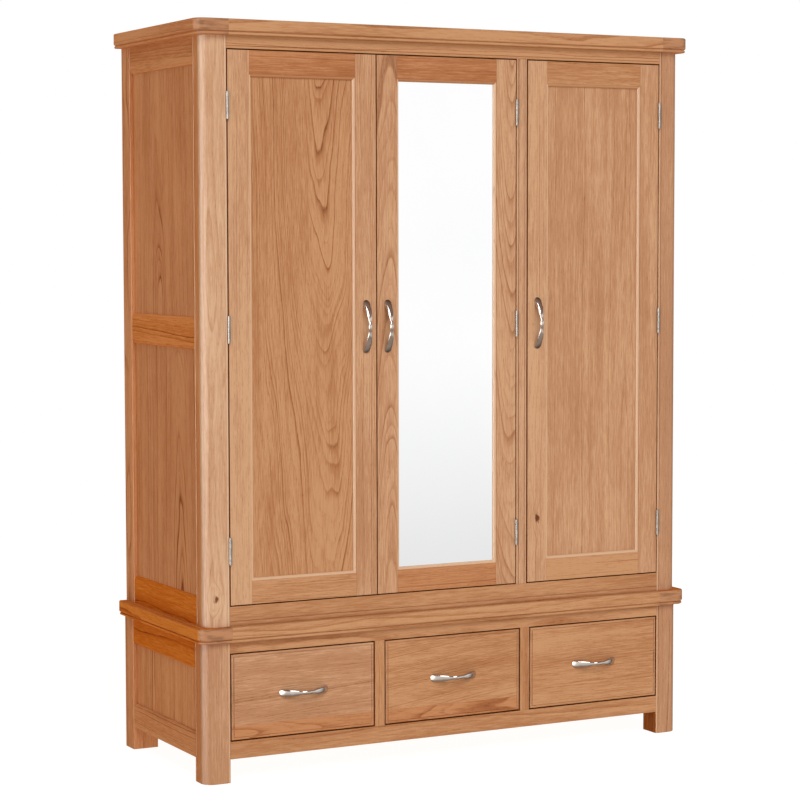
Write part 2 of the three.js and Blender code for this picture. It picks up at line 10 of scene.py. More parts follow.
import bmesh
import bpy
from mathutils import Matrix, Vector


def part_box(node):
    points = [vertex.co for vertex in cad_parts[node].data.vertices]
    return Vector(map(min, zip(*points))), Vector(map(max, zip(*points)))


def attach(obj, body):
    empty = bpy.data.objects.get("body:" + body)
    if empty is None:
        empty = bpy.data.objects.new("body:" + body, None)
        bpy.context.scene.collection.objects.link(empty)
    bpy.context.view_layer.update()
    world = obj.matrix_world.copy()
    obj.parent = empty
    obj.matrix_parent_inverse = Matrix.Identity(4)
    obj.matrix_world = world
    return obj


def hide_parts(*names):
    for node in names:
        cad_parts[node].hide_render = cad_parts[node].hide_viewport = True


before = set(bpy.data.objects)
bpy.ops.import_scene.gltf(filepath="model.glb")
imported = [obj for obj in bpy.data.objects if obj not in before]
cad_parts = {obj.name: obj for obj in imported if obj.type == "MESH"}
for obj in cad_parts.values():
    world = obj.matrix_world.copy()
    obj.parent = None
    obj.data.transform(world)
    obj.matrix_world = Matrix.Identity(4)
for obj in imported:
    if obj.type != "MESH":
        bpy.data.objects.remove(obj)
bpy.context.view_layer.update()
scene = bpy.context.scene
scene.view_settings.view_transform = "Standard"
draws = random.Random(11)

# ---- sizes ----

BEAD = 0.006
BEAD_DEPTH = 0.0018
FOOT_BEAD = 0.012
QUIRK = 0.0015  # the groove beside a bead
MOULDING = 0.007
MOULDING_STEP = 0.0015
PANEL_RECESS = MOULDING + MOULDING_STEP
CORNER_ROUND = 0.030
SLAB_BEAD_HEIGHT = 0.007
SLAB_BEAD_SETBACK = 0.002
SLAB_BEAD_ROUND = 0.003
SLAB_QUIRK_DEPTH = 0.005
SLAB_ARRIS = 0.004
RAIL_THICKNESS = 0.022
SIDE_PANEL_THICKNESS = 0.009
BASE_SIDE_RAIL_TOP = 0.120
BASE_SIDE_TOP_RAIL_Z = 0.299
STILE = 0.060
GLASS_THICKNESS = 0.004
DRAWER_JOINT_Z = 0.147
DRAWER_SIDE = 0.012
DRAWER_BOTTOM = 0.006
DRAWER_BOTTOM_LIFT = 0.008
KNUCKLE_RADIUS = 0.004
LEAF_THICKNESS = 0.0009
PARTITION_THICKNESS = 0.018
EASED = 0.0005
EASED_ANGLE = math.radians(40)
SMOOTH_ANGLE = math.radians(46)

# ---- camera ----

CAMERA_PLACE = Vector((-3.1000, -5.8558, 1.4068))
CAMERA_YAW = math.radians(27.723)
CAMERA_PITCH = math.radians(-3.941)
CAMERA_ROLL = math.radians(-0.105)
CAMERA_LENS = 107.94
SENSOR_WIDTH = 36.0


def add_object(name, data):
    made = bpy.data.objects.new(name, data)
    scene.collection.objects.link(made)
    return made


def make_camera():
    data = bpy.data.cameras.new("camera")
    data.lens = CAMERA_LENS
    data.sensor_width = SENSOR_WIDTH
    camera = add_object("camera", data)
    camera.location = CAMERA_PLACE
    forward = Vector((
        math.sin(CAMERA_YAW) * math.cos(CAMERA_PITCH),
        math.cos(CAMERA_YAW) * math.cos(CAMERA_PITCH),
        math.sin(CAMERA_PITCH),
    ))
    level = Vector((math.cos(CAMERA_YAW), -math.sin(CAMERA_YAW), 0.0))
    upright = level.cross(forward)
    right = level * math.cos(CAMERA_ROLL) + upright * math.sin(CAMERA_ROLL)
    up = upright * math.cos(CAMERA_ROLL) - level * math.sin(CAMERA_ROLL)
    turn = camera.matrix_world.to_3x3()
    turn.col[0] = right
    turn.col[1] = up
    turn.col[2] = -forward
    camera.rotation_mode = "QUATERNION"
    camera.rotation_quaternion = turn.to_quaternion()
    scene.camera = camera


# ---- shader nodes ----


class Shader:
    """Lays out nodes in a tree. A value is either a number, a tuple or another node's socket."""

    def __init__(self, tree):
        self.tree = tree

    def add(self, kind, inputs=None, **settings):
        node = self.tree.nodes.new(kind)
        for key, value in settings.items():
            setattr(node, key, value)
        self.fill(node, inputs or {})
        return node

    def fill(self, node, inputs):
        for key, value in inputs.items():
            self.feed(node.inputs[key], value)

    def feed(self, socket, value):
        if isinstance(value, bpy.types.NodeSocket):
            self.tree.links.new(value, socket)
        else:
            socket.default_value = value

    def math(self, operation, *values):
        return self.add("ShaderNodeMath", dict(enumerate(values)), operation=operation).outputs[0]

    def vector(self, operation, *values):
        node = self.add("ShaderNodeVectorMath", dict(enumerate(values)), operation=operation)
        return node.outputs["Value" if operation == "LENGTH" else "Vector"]

    def times(self, first, second):
        return self.math("MULTIPLY", first, second)

    def added(self, value, share, base):
        """Base with a share of value added to it."""
        return self.math("MULTIPLY_ADD", value, share, base)

    def scaled(self, vector, amount):
        node = self.add("ShaderNodeVectorMath", {0: vector, "Scale": amount}, operation="SCALE")
        return node.outputs["Vector"]

    def split(self, vector):
        return self.add("ShaderNodeSeparateXYZ", {0: vector}).outputs

    def bump(self, strength, distance, height):
        inputs = {"Strength": strength, "Distance": distance, "Height": height}
        return self.add("ShaderNodeBump", inputs).outputs["Normal"]

    def noise(self, position, stretch, detail, output="Fac"):
        stretched = self.vector("MULTIPLY", position, stretch)
        inputs = {"Vector": stretched, "Scale": 1.0, "Detail": detail}
        return self.add("ShaderNodeTexNoise", inputs).outputs[output]

    def push(self, position, stretch, detail):
        """A noise that points either way along each axis."""
        return self.vector("SUBTRACT", self.noise(position, stretch, detail, "Color"), (0.5, 0.5, 0.5))

    def noise_along(self, value, stretch, seed, detail):
        """A noise that depends on one value alone."""
        place = self.add("ShaderNodeCombineXYZ", {"X": self.times(value, stretch)}).outputs[0]
        return self.noise(self.vector("ADD", place, seed), (1.0, 1.0, 1.0), detail)

    def spread(self, value, low, high, to_low=0.0, to_high=1.0):
        """Value eased from low..high to to_low..to_high."""
        inputs = {"Value": value, "From Min": low, "From Max": high, "To Min": to_low, "To Max": to_high}
        return self.add("ShaderNodeMapRange", inputs, interpolation_type="SMOOTHSTEP").outputs["Result"]

    def ramp(self, factor, stops):
        node = self.add("ShaderNodeValToRGB", {"Fac": factor})
        elements = node.color_ramp.elements
        while len(elements) < len(stops):
            elements.new(0.5)
        for element, (place, grey) in zip(elements, stops):
            element.position = place
            element.color = (grey, grey, grey, 1.0)
        return node.outputs["Color"]

    def mix(self, factor, first, second):
        inputs = {"Factor": factor, 6: first, 7: second}
        return self.add("ShaderNodeMix", inputs, data_type="RGBA").outputs[2]


def linear(red, green, blue):
    """A colour from 0-255 screen values, as a shader colour."""
    channels = []
    for value in (red, green, blue):
        share = value / 255
        channels.append(share / 12.92 if share <= 0.04045 else ((share + 0.055) / 1.055) ** 2.4)
    return (*channels, 1.0)


def new_material(name):
    """A new material, with a Shader for its nodes and its surface node."""
    material = bpy.data.materials.new(name)
    material.use_nodes = True
    return material, Shader(material.node_tree), material.node_tree.nodes["Principled BSDF"]


# ---- oak ----

# The three colours of each wood: clear late wood, the body colour and the darkest pores.
BLOND_OAK = (linear(218, 180, 148), linear(199, 153, 118), linear(144, 90, 54))
PALE_OAK = (linear(208, 165, 130), linear(184, 134, 99), linear(130, 76, 40))
FRONT_OAK = (linear(200, 150, 110), linear(177, 122, 81), linear(124, 64, 26))
RUSSET_OAK = (linear(194, 136, 94), linear(170, 108, 66), linear(122, 62, 26))
SIDE_OAK = (linear(212, 151, 107), linear(192, 126, 82), linear(134, 72, 32))
COPPER_OAK = (linear(217, 142, 84), linear(197, 116, 57), linear(124, 62, 20))
AMBER_OAK = (linear(216, 131, 52), linear(196, 101, 24), linear(120, 52, 6))
INNER_WOOD = (linear(226, 196, 158), linear(208, 172, 130), linear(160, 116, 78))
# How much darker the faces looking into the gaps between parts are: painted shade.
GAP_SHADE_TONE = 0.42
# How much paler the beads on the front posts are: a painted highlight.
BEAD_HIGHLIGHT_TONE = -0.30
# How much paler the door mouldings are: a painted highlight.
MOULDING_HIGHLIGHT_TONE = -0.40
KNOT_HEART = linear(84, 46, 24)
END_GRAIN = linear(188, 136, 100)
END_GRAIN_DARK = linear(146, 104, 78)


def make_oak_group():
    """Colour, roughness and height of sawn oak.

    Point is measured from the pith: X along the grain, Y and Z across it. Lean is how far the
    pith runs out of line, across the board and through it, for each metre along the grain.
    """
    tree = bpy.data.node_groups.new("oak_grain", "ShaderNodeTree")
    sockets = tree.interface
    for name, kind in (
        ("Point", "Vector"), ("Seed", "Vector"), ("Lean", "Vector"), ("Knot", "Vector"),
        ("Knot Size", "Float"), ("Ring", "Float"), ("Wander", "Float"), ("Tone", "Float"),
        ("Figure", "Float"), ("End", "Float"), ("Light", "Color"), ("Middle", "Color"), ("Dark", "Color"),
    ):
        sockets.new_socket(name=name, in_out="INPUT", socket_type=f"NodeSocket{kind}")
    for name, kind in (("Color", "Color"), ("Roughness", "Float"), ("Height", "Float")):
        sockets.new_socket(name=name, in_out="OUTPUT", socket_type=f"NodeSocket{kind}")
    shader = Shader(tree)
    given = shader.add("NodeGroupInput").outputs
    seeded = shader.vector("ADD", given["Point"], given["Seed"])

    # The pith's own line, bent a little along its length.
    lean = shader.scaled(given["Lean"], shader.split(given["Point"])["X"])
    straight = shader.vector("SUBTRACT", given["Point"], lean)
    slow = shader.push(seeded, (1.7, 9.0, 9.0), 1.0)
    quick = shader.scaled(shader.push(seeded, (7.0, 26.0, 26.0), 1.5), 0.16)
    bend = shader.scaled(shader.vector("ADD", slow, quick), given["Wander"])
    across = shader.vector("MULTIPLY", shader.vector("ADD", straight, bend), (0.0, 1.0, 1.0))
    radius = shader.vector("LENGTH", across)

    # A knot pushes the rings aside and darkens its middle.
    from_knot = shader.vector("SUBTRACT", given["Point"], given["Knot"])
    from_knot = shader.vector("MULTIPLY", from_knot, (0.55, 1.0, 0.0))
    knot_distance = shader.math("DIVIDE", shader.vector("LENGTH", from_knot), given["Knot Size"])
    knot_pull = shader.spread(knot_distance, 0.0, 3.0, 1.0, 0.0)
    torn = shader.noise(seeded, (70.0, 190.0, 190.0), 2.0)
    knot_edge = shader.added(shader.math("SUBTRACT", torn, 0.5), 1.5, knot_distance)
    knot_heart = shader.spread(knot_edge, 0.25, 0.75, 1.0, 0.0)
    pushed = shader.times(knot_pull, given["Knot Size"])
    radius = shader.math("ADD", radius, shader.times(pushed, 0.7))

    # Yearly rings of uneven width: a dark porous edge that fades into denser wood.
    years = shader.math("DIVIDE", radius, given["Ring"])
    uneven = shader.noise_along(years, 0.37, given["Seed"], 1.0)
    years = shader.math("ADD", years, shader.times(uneven, 3.4))
    year = shader.add("ShaderNodeTexWhiteNoise", {"W": shader.math("FLOOR", years)}, noise_dimensions="1D")
    year_share = shader.spread(year.outputs["Value"], 0.1, 1.0, 0.10, 1.0)
    seasons = ((0.0, 0.5), (0.06, 1.0), (0.22, 0.45), (0.45, 0.12), (0.94, 0.0), (1.0, 0.5))
    ring = shader.ramp(shader.math("FRACT", years), seasons)
    patches = shader.noise(seeded, (1.6, 14.0, 14.0), 2.0)
    ring_share = shader.times(shader.spread(patches, 0.30, 0.62, 0.14, 1.0), year_share)
    rings = shader.times(shader.times(ring, ring_share), given["Figure"])

    # Wider bands where the tree grew faster or slower.
    bands = shader.noise_along(years, 0.21, given["Seed"], 1.5)

    # Streaks and fibres along the grain, and pores as short fine dashes in the early wood.
    streaks = shader.noise(seeded, (2.2, 34.0, 34.0), 3.0)
    fibres = shader.noise(seeded, (24.0, 330.0, 330.0), 3.0)
    clouds = shader.noise(seeded, (3.0, 7.0, 7.0), 2.0)
    dashes = shader.noise(seeded, (75.0, 1300.0, 1300.0), 1.0)
    pores = shader.times(shader.spread(dashes, 0.56, 0.68), shader.spread(ring, 0.0, 0.8, 0.25, 1.0))

    # How dark each point is, then its colour between the wood's three and the end grain.
    darkness = shader.added(rings, 0.78, 0.14)
    for texture, share in ((bands, 0.25), (streaks, 0.50), (fibres, 0.72), (clouds, 0.40)):
        darkness = shader.added(shader.math("SUBTRACT", texture, 0.5), share, darkness)
    for mark, share in ((pores, 0.38), (knot_heart, 1.1)):
        darkness = shader.added(mark, share, darkness)
    darkness = shader.math("ADD", darkness, given["Tone"])
    warm = shader.mix(shader.spread(darkness, 0.0, 0.42), given["Light"], given["Middle"])
    colour = shader.mix(shader.spread(darkness, 0.36, 1.15), warm, given["Dark"])
    colour = shader.mix(shader.times(knot_heart, 0.65), colour, KNOT_HEART)
    mottle = shader.noise(seeded, (60.0, 95.0, 16.0), 4.0)
    cut_ends = shader.mix(shader.spread(mottle, 0.40, 0.68), END_GRAIN, END_GRAIN_DARK)
    colour = shader.mix(given["End"], colour, cut_ends)

    height = shader.added(pores, -1.0, shader.times(rings, -0.25))
    roughness = shader.added(shader.math("ADD", pores, rings), 0.10, 0.40)
    shader.add("NodeGroupOutput", {"Color": colour, "Roughness": roughness, "Height": height})
    return tree


OAK_GROUP = make_oak_group()
NO_KNOT = (9.0, 9.0, 0.0)
AXIS = {"x": 0, "y": 1, "z": 2}


def oak(piece, wood, grain, pith=None, lean=(0.0, 0.0), ring=0.0042, wander=0.020, tone=0.0,
        figure=1.0, knot=None, knot_size=0.010, lacquer=0.45):
    """Give a board its own grain.

    grain is the axis it runs along. pith is the place of the tree's middle in the two axes after
    it in the order x, y, z, x, y; without one the board comes from a random place in the log.
    lean is how far the pith runs out of line in those axes for each metre. ring is the width of a
    year, wander how far the pith bends, tone makes the board darker and figure its rings stronger.
    knot is (place along the grain, place in the next axis). lacquer is the share of gloss.
    """
    first = AXIS[grain]
    order = [first, (first + 1) % 3, (first + 2) % 3]
    corners = [Vector(corner) for corner in piece.bound_box]
    middle = [sum(corner[axis] for corner in corners) / len(corners) for axis in order]
    angle = draws.uniform(0.0, 2.0 * math.pi)
    distance = draws.uniform(0.07, 0.17)
    seed = [draws.uniform(-40.0, 40.0) for _ in range(3)]
    tone += draws.uniform(-0.05, 0.05)
    if pith is None:
        pith = (middle[1] + distance * math.cos(angle), middle[2] + distance * math.sin(angle))
    origin = (middle[0], *pith)

    material, shader, surface = new_material(f"oak_{piece.name}")
    place = shader.add("ShaderNodeTexCoord").outputs
    split = shader.split(place["Object"])
    turned = shader.add("ShaderNodeCombineXYZ", {i: split[order[i]] for i in range(3)}).outputs[0]
    facing = shader.split(place["Normal"])[first]
    end = shader.spread(shader.math("ABSOLUTE", facing), 0.12, 0.60)
    knot_place = NO_KNOT
    if knot is not None:
        knot_place = (knot[0] - origin[0], knot[1] - origin[1], 0.0)
    grown = shader.add("ShaderNodeGroup", node_tree=OAK_GROUP)
    shader.fill(grown, {
        "Point": shader.vector("SUBTRACT", turned, origin), "Seed": seed, "Lean": (0.0, *lean),
        "Knot": knot_place, "Knot Size": knot_size, "Ring": ring, "Wander": wander, "Tone": tone,
        "Figure": figure, "End": end, "Light": wood[0], "Middle": wood[1], "Dark": wood[2],
    })
    shader.fill(surface, {
        "Base Color": grown.outputs["Color"],
        "Roughness": grown.outputs["Roughness"],
        "Normal": shader.bump(0.35, 0.0003, grown.outputs["Height"]),
        "Specular IOR Level": 0.0,
        "Coat Weight": lacquer,
        "Coat Roughness": 0.24,
    })
    return finished(piece, material)


# ---- metal, glass and hardboard ----


def plain_material(name, low, high, metallic, roughness, scale):
    """A finish whose colour and roughness drift a little over the surface."""
    material, shader, surface = new_material(name)
    place = shader.add("ShaderNodeTexCoord").outputs["Object"]
    drift = shader.noise(place, (scale, scale, scale), 3.0)
    fine_scale = scale * 14.0
    fine = shader.noise(place, (fine_scale, fine_scale, fine_scale), 2.0)
    shader.fill(surface, {
        "Base Color": shader.mix(shader.spread(drift, 0.35, 0.65), low, high),
        "Roughness": shader.spread(drift, 0.3, 0.7, *roughness),
        "Normal": shader.bump(0.08, 0.0001, fine),
        "Metallic": metallic,
    })
    return material


def metal(name, low, high, roughness, scale):
    return plain_material(name, (*low, 1.0), (*high, 1.0), 1.0, roughness, scale)


NICKEL = metal("polished_nickel", (0.58, 0.52, 0.47), (0.68, 0.62, 0.57), (0.07, 0.14), 60.0)
HINGE_STEEL = metal("satin_nickel", (0.30, 0.27, 0.24), (0.42, 0.38, 0.34), (0.36, 0.46), 90.0)
RAIL_STEEL = metal("chromed_steel", (0.66, 0.66, 0.67), (0.74, 0.74, 0.75), (0.12, 0.20), 30.0)
SILVERING = metal("silvered_glass", (0.97, 0.975, 0.975), (0.99, 0.99, 0.99), (0.008, 0.014), 3.0)
HARDBOARD = plain_material("hardboard", linear(128, 92, 62), linear(150, 112, 78), 0.0, (0.6, 0.75), 120.0)


def finished(piece, material):
    piece.data.materials.clear()
    piece.data.materials.append(material)
    return piece


def reshaded(material, tone, lacquer):
    """The same grain, darker or lighter by tone and with its own gloss."""
    made = material.copy()
    made.node_tree.nodes["Group"].inputs["Tone"].default_value += tone
    made.node_tree.nodes["Principled BSDF"].inputs["Coat Weight"].default_value = lacquer
    return made


def restained(material, wood):
    """Change an oak's three colours and keep its grain."""
    inputs = material.node_tree.nodes["Group"].inputs
    for name, colour in zip(("Light", "Middle", "Dark"), wood):
        inputs[name].default_value = colour
    return material


def reshade_faces(piece, tone, lacquer, chosen, wood=None):
    """Shade the faces for which chosen(middle, normal) is true, in another wood's colours if given."""
    shade = reshaded(piece.data.materials[0], tone, lacquer)
    if wood is not None:
        restained(shade, wood)
    piece.data.materials.append(shade)
    index = len(piece.data.materials) - 1
    for polygon in piece.data.polygons:
        if chosen(polygon.center, polygon.normal):
            polygon.material_index = index


def paint_gap_shade(piece):
    """Leave the edges of a board on the front, the faces looking into the gaps, unlacquered, redder and
    darker: painted shade in the gaps between parts.
    """
    reshade_faces(piece, GAP_SHADE_TONE, 0.0, lambda middle, normal: abs(normal.y) < 0.5, RUSSET_OAK)


# ---- shaping ----


def arc(centre, radius, start, end, steps):
    """Points of an arc between two angles in degrees."""
    points = []
    for i in range(steps + 1):
        angle = math.radians(start + (end - start) * i / steps)
        points.append((centre[0] + radius * math.cos(angle), centre[1] + radius * math.sin(angle)))
    return points


def bead_profile(width=BEAD):
    """Rounded bead on an arris with its quirk, as (distance from the arris, depth)."""
    radius = width / 2
    bead = [(x, BEAD_DEPTH * (1 - y / radius)) for x, y in arc((radius, 0.0), radius, 180, 0, 10)]
    return [*bead, (width + QUIRK, BEAD_DEPTH), (width + QUIRK, 0.0)]


def moulding_profile():
    """Quarter-round from a rail's flat to its panel, as (distance beyond the flat, depth)."""
    curve = arc((0.0, PANEL_RECESS), MOULDING, -90, 0, 8)
    return [(0.0, 0.0), *curve]


def loft(shape, rings):
    """Add a closed solid that runs through rings of the same number of points."""
    rows = [[shape.verts.new(point) for point in ring] for ring in rings]
    count = len(rows[0])
    for lower, upper in zip(rows, rows[1:]):
        for i in range(count):
            j = (i + 1) % count
            shape.faces.new((lower[i], lower[j], upper[j], upper[i]))
    shape.faces.new(list(reversed(rows[0])))
    shape.faces.new(rows[-1])


def run(shape, outline, axis, start, end):
    """Push an outline in the other two axes from start to end.

    Start and end are places on the axis, or functions of an outline point where an end is mitred.
    """
    index = AXIS[axis]
    rings = []
    for stop in (start, end):
        ring = []
        for a, b in outline:
            point = [a, b]
            point.insert(index, stop(a, b) if callable(stop) else stop)
            ring.append(point)
        rings.append(ring)
    loft(shape, rings)


def mitred(stop, direction, axis, edge):
    """An end of a run that moves in direction by each outline point's distance from an edge."""
    across = 0 if axis == "z" else 1
    return lambda *point: stop + direction * abs(point[across] - edge)


def rectangle(a0, a1, b0, b1):
    return [(a0, b0), (a1, b0), (a1, b1), (a0, b1)]


def slab(shape, low, high):
    """A box between two corners."""
    run(shape, rectangle(low[0], high[0], low[1], high[1]), "z", low[2], high[2])


def lathe(shape, centre, axis, profile, steps=20):
    """Turn a profile of (place along the axis, radius) about an axis through a centre."""
    index = AXIS[axis]
    rings = []
    for along, radius in profile:
        ring = []
        for a, b in arc((0.0, 0.0), radius, 0, 360 - 360 / steps, steps - 1):
            point = [a, b]
            point.insert(index, along)
            ring.append([point[i] + centre[i] for i in range(3)])
        rings.append(ring)
    loft(shape, rings)


def piece(name, body, shape, slot, replaced, soften=EASED):
    """Turn a bmesh into a piece on a body that stands for CAD nodes, with its outer edges eased."""
    bmesh.ops.recalc_face_normals(shape, faces=shape.faces)
    if soften:
        sharp = [
            edge for edge in shape.edges
            if edge.is_convex and edge.calc_face_angle(0.0) > EASED_ANGLE
        ]
        bmesh.ops.bevel(shape, geom=sharp, offset=soften, segments=2, profile=0.5, affect="EDGES")
    for face in shape.faces:
        face.smooth = True
    for edge in shape.edges:
        edge.smooth = edge.calc_face_angle(0.0) < SMOOTH_ANGLE
    mesh = bpy.data.meshes.new(name)
    shape.to_mesh(mesh)
    shape.free()
    made = add_object(name, mesh)
    evened = made.modifiers.new("even_shading", "WEIGHTED_NORMAL")
    evened.keep_sharp = True
    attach(made, body)
    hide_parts(*replaced)
    return made


def board(name, body, low, high, slot, replaced, soften=EASED):
    shape = bmesh.new()
    slab(shape, low, high)
    return piece(name, body, shape, slot, replaced, soften)


# ---- posts ----

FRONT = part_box("base_front_left_post")[0].y
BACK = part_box("base_back_left_post")[1].y
OPENING_HALF = -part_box("base_front_left_post")[1].x
FRONT_POST_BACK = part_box("base_front_left_post")[1].y
BACK_POST_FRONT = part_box("base_back_left_post")[0].y
RAIL_BACK = FRONT + RAIL_THICKNESS
SIDES = (("left", -1), ("right", 1))


def front_post_outline(width, depth):
    """(Distance from the inner face, distance back), with a rounded outer corner and two beads."""
    corner = arc((width - CORNER_ROUND, CORNER_ROUND), CORNER_ROUND, -90, 0, 20)
    rear = [(width - deep, depth - along) for along, deep in reversed(bead_profile())]
    return [*bead_profile(), *corner, *rear, (0.0, depth)]


def back_post_outline(width, depth):
    front = [(width - deep, along) for along, deep in bead_profile()]
    return [(0.0, 0.0), *front, (width, depth), (0.0, depth)]


def paint_front_post_light(post, side, front_y):
    """Painted light on a front post: a paler, glossy bead as a painted highlight, a darker inner face
    without lacquer as painted shade in the door gap, and the outer side face restained in warmer side oak
    with little lacquer, painted shade for the warm look of that side in shade.
    """
    inner_x = side * OPENING_HALF

    def on_bead(middle, normal):
        return abs(middle.x - inner_x) < BEAD and normal.y < -0.2

    def on_inner_face(middle, normal):
        return normal.x * side < -0.9 and abs(middle.x - inner_x) < BEAD_DEPTH

    def on_side(middle, normal):
        return normal.x * side > 0.95 and middle.y > front_y + CORNER_ROUND

    # Painted highlight on the bead.
    reshade_faces(post, BEAD_HIGHLIGHT_TONE, 1.0, on_bead)
    # Painted shade on the inner face in the door gap.
    reshade_faces(post, GAP_SHADE_TONE, 0.0, on_inner_face, RUSSET_OAK)
    # Painted shade: the outer side face in warmer colours.
    reshade_faces(post, 0.0, 0.1, on_side, SIDE_OAK)


def make_posts():
    outlines = {"front": front_post_outline, "back": back_post_outline}
    glossy = {"figure": 0.6, "lacquer": 0.8}
    looks = {
        "cabinet_front_left_post": {**glossy, "wood": BLOND_OAK, "knot": (0.478, -0.690)},
        "base_front_left_post": {**glossy, "tone": 0.14},
        "cabinet_front_right_post": {**glossy, "tone": 0.22},
        "base_front_right_post": {**glossy, "tone": 0.22},
    }
    for level in ("base", "cabinet"):
        for row, outline_of in outlines.items():
            for side_name, side in SIDES:
                node = f"{level}_{row}_{side_name}_post"
                low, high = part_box(node)
                outline = outline_of(high.x - low.x, high.y - low.y)
                placed = [(side * (OPENING_HALF + across), low.y + back) for across, back in outline]
                shape = bmesh.new()
                run(shape, placed, "z", low.z, high.z)
                wood, slot = (PALE_OAK, "front_oak") if row == "front" else (SIDE_OAK, "side_oak")
                post = piece(f"{node}_turned", "carcass", shape, slot, [node])
                oak(post, **{"wood": wood, "grain": "z", **looks.get(node, {})})
                if row == "front":
                    paint_front_post_light(post, side, low.y)


# ---- waist board and cornice ----


def slab_profile():
    """(Inset, height) from the underside to the top: a bead, a quirk and a face with eased edges."""
    face = SLAB_BEAD_HEIGHT + QUIRK
    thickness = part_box("cornice")[1].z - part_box("cornice")[0].z
    radius, arris = SLAB_BEAD_ROUND, SLAB_ARRIS
    bead_middle = SLAB_BEAD_SETBACK + radius
    bead = arc((bead_middle, radius), radius, 270, 180, 6)
    bead += arc((bead_middle, SLAB_BEAD_HEIGHT - radius), radius, 180, 90, 6)
    lower = arc((arris, face + arris), arris, 270, 180, 7)
    upper = arc((arris, thickness - arris), arris, 180, 90, 7)
    return [*bead, (SLAB_QUIRK_DEPTH, face), *lower, *upper]


def make_slab(node, end_wood, top_shade_tone):
    """Three boards: one across the front and one running back at each end.

    top_shade_tone darkens the upper face of the end boards, in coppery colours and without lacquer:
    painted shade.
    """
    low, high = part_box(node)
    middle = bmesh.new()
    ends = {side: bmesh.new() for _, side in SIDES}
    rings = {0: [], -1: [], 1: []}
    for inset, height in slab_profile():
        z = low.z + height
        front = low.y + inset
        rings[0].append([(x, y, z) for x, y in rectangle(-OPENING_HALF, OPENING_HALF, front, BACK)])
        corner = arc((high.x - CORNER_ROUND, low.y + CORNER_ROUND), CORNER_ROUND - inset, -90, 0, 16)
        plan = [(OPENING_HALF, front), *corner, (high.x - inset, BACK), (OPENING_HALF, BACK)]
        for _, side in SIDES:
            rings[side].append([(side * x, y, z) for x, y in plan])
    loft(middle, rings[0])
    pith_z = low.z - 0.05
    made = piece(f"{node}_front_member", "carcass", middle, "front_oak", [node], soften=0.0003)
    oak(made, FRONT_OAK, "x", pith=(0.06, pith_z), tone=-0.10, figure=0.8)
    for side_name, side in SIDES:
        loft(ends[side], rings[side])
        name = f"{node}_{side_name}_member"
        made = piece(name, "carcass", ends[side], "side_oak", [node], soften=0.0003)
        oak(made, end_wood if side < 0 else SIDE_OAK, "y", ring=0.0035, lacquer=0.35)
        # Painted shade on the upper face of each end board.
        reshade_faces(made, top_shade_tone, 0.0, lambda middle, normal: normal.z > 0.3, COPPER_OAK)


# ---- rails across the front ----


def front_rail(node, bead_width=None, wood=FRONT_OAK, **look):
    low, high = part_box(node)
    lower = [(low.y, low.z)]
    if bead_width:
        lower = [(low.y + deep, low.z + along) for along, deep in bead_profile(bead_width)]
    shape = bmesh.new()
    outline = [*lower, (low.y, high.z), (high.y, high.z), (high.y, low.z)]
    run(shape, outline, "x", low.x, high.x)
    rail = oak(piece(f"{node}_board", "carcass", shape, "front_oak", [node]), wood, "x", **look)
    paint_gap_shade(rail)


# ---- sides ----


def side_board(name, node, side, section, wood=SIDE_OAK, grain="y", lacquer=0.15, **look):
    """A board between the posts from a section of (depth below the outer face, z)."""
    outer = max(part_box(node)[1].x, -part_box(node)[0].x)
    placed = [(side * (outer - deep), z) for deep, z in section]
    shape = bmesh.new()
    run(shape, placed, "y", FRONT_POST_BACK, BACK_POST_FRONT)
    oak(piece(name, "carcass", shape, "side_oak", [node]), wood, grain, lacquer=lacquer, **look)


def warm_oak(side):
    """The rails at knee height are the warmest boards, more so on the left side."""
    return AMBER_OAK if side < 0 else COPPER_OAK


def moulded_up(z):
    return [(deep, z + beyond) for beyond, deep in moulding_profile()]


def moulded_down(z):
    return [(deep, z - beyond) for beyond, deep in reversed(moulding_profile())]


def lower_rail_section(bottom, top):
    """A side rail with a moulding along its upper edge, as (depth below the outer face, z)."""
    return [(0.0, bottom), *moulded_up(top - MOULDING), (RAIL_THICKNESS, top), (RAIL_THICKNESS, bottom)]


def upper_rail_section(bottom, top):
    """A side rail with a moulding along its lower edge."""
    return [(RAIL_THICKNESS, bottom), *moulded_down(bottom + MOULDING), (0.0, top), (RAIL_THICKNESS, top)]


def make_base_side(side_name, side):
    node = f"base_{side_name}_side"
    low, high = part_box(node)
    panel_low = BASE_SIDE_RAIL_TOP + MOULDING
    panel_top = BASE_SIDE_TOP_RAIL_Z - MOULDING
    bottom_section = lower_rail_section(low.z, panel_low)
    top_section = upper_rail_section(panel_top, high.z)
    panel_section = rectangle(PANEL_RECESS, PANEL_RECESS + SIDE_PANEL_THICKNESS, panel_low, panel_top)
    side_board(f"{node}_bottom_rail", node, side, bottom_section, tone=0.02)
    side_board(f"{node}_top_rail", node, side, top_section, warm_oak(side), tone=0.05)
    side_board(f"{node}_panel", node, side, panel_section, grain="z", figure=1.4)


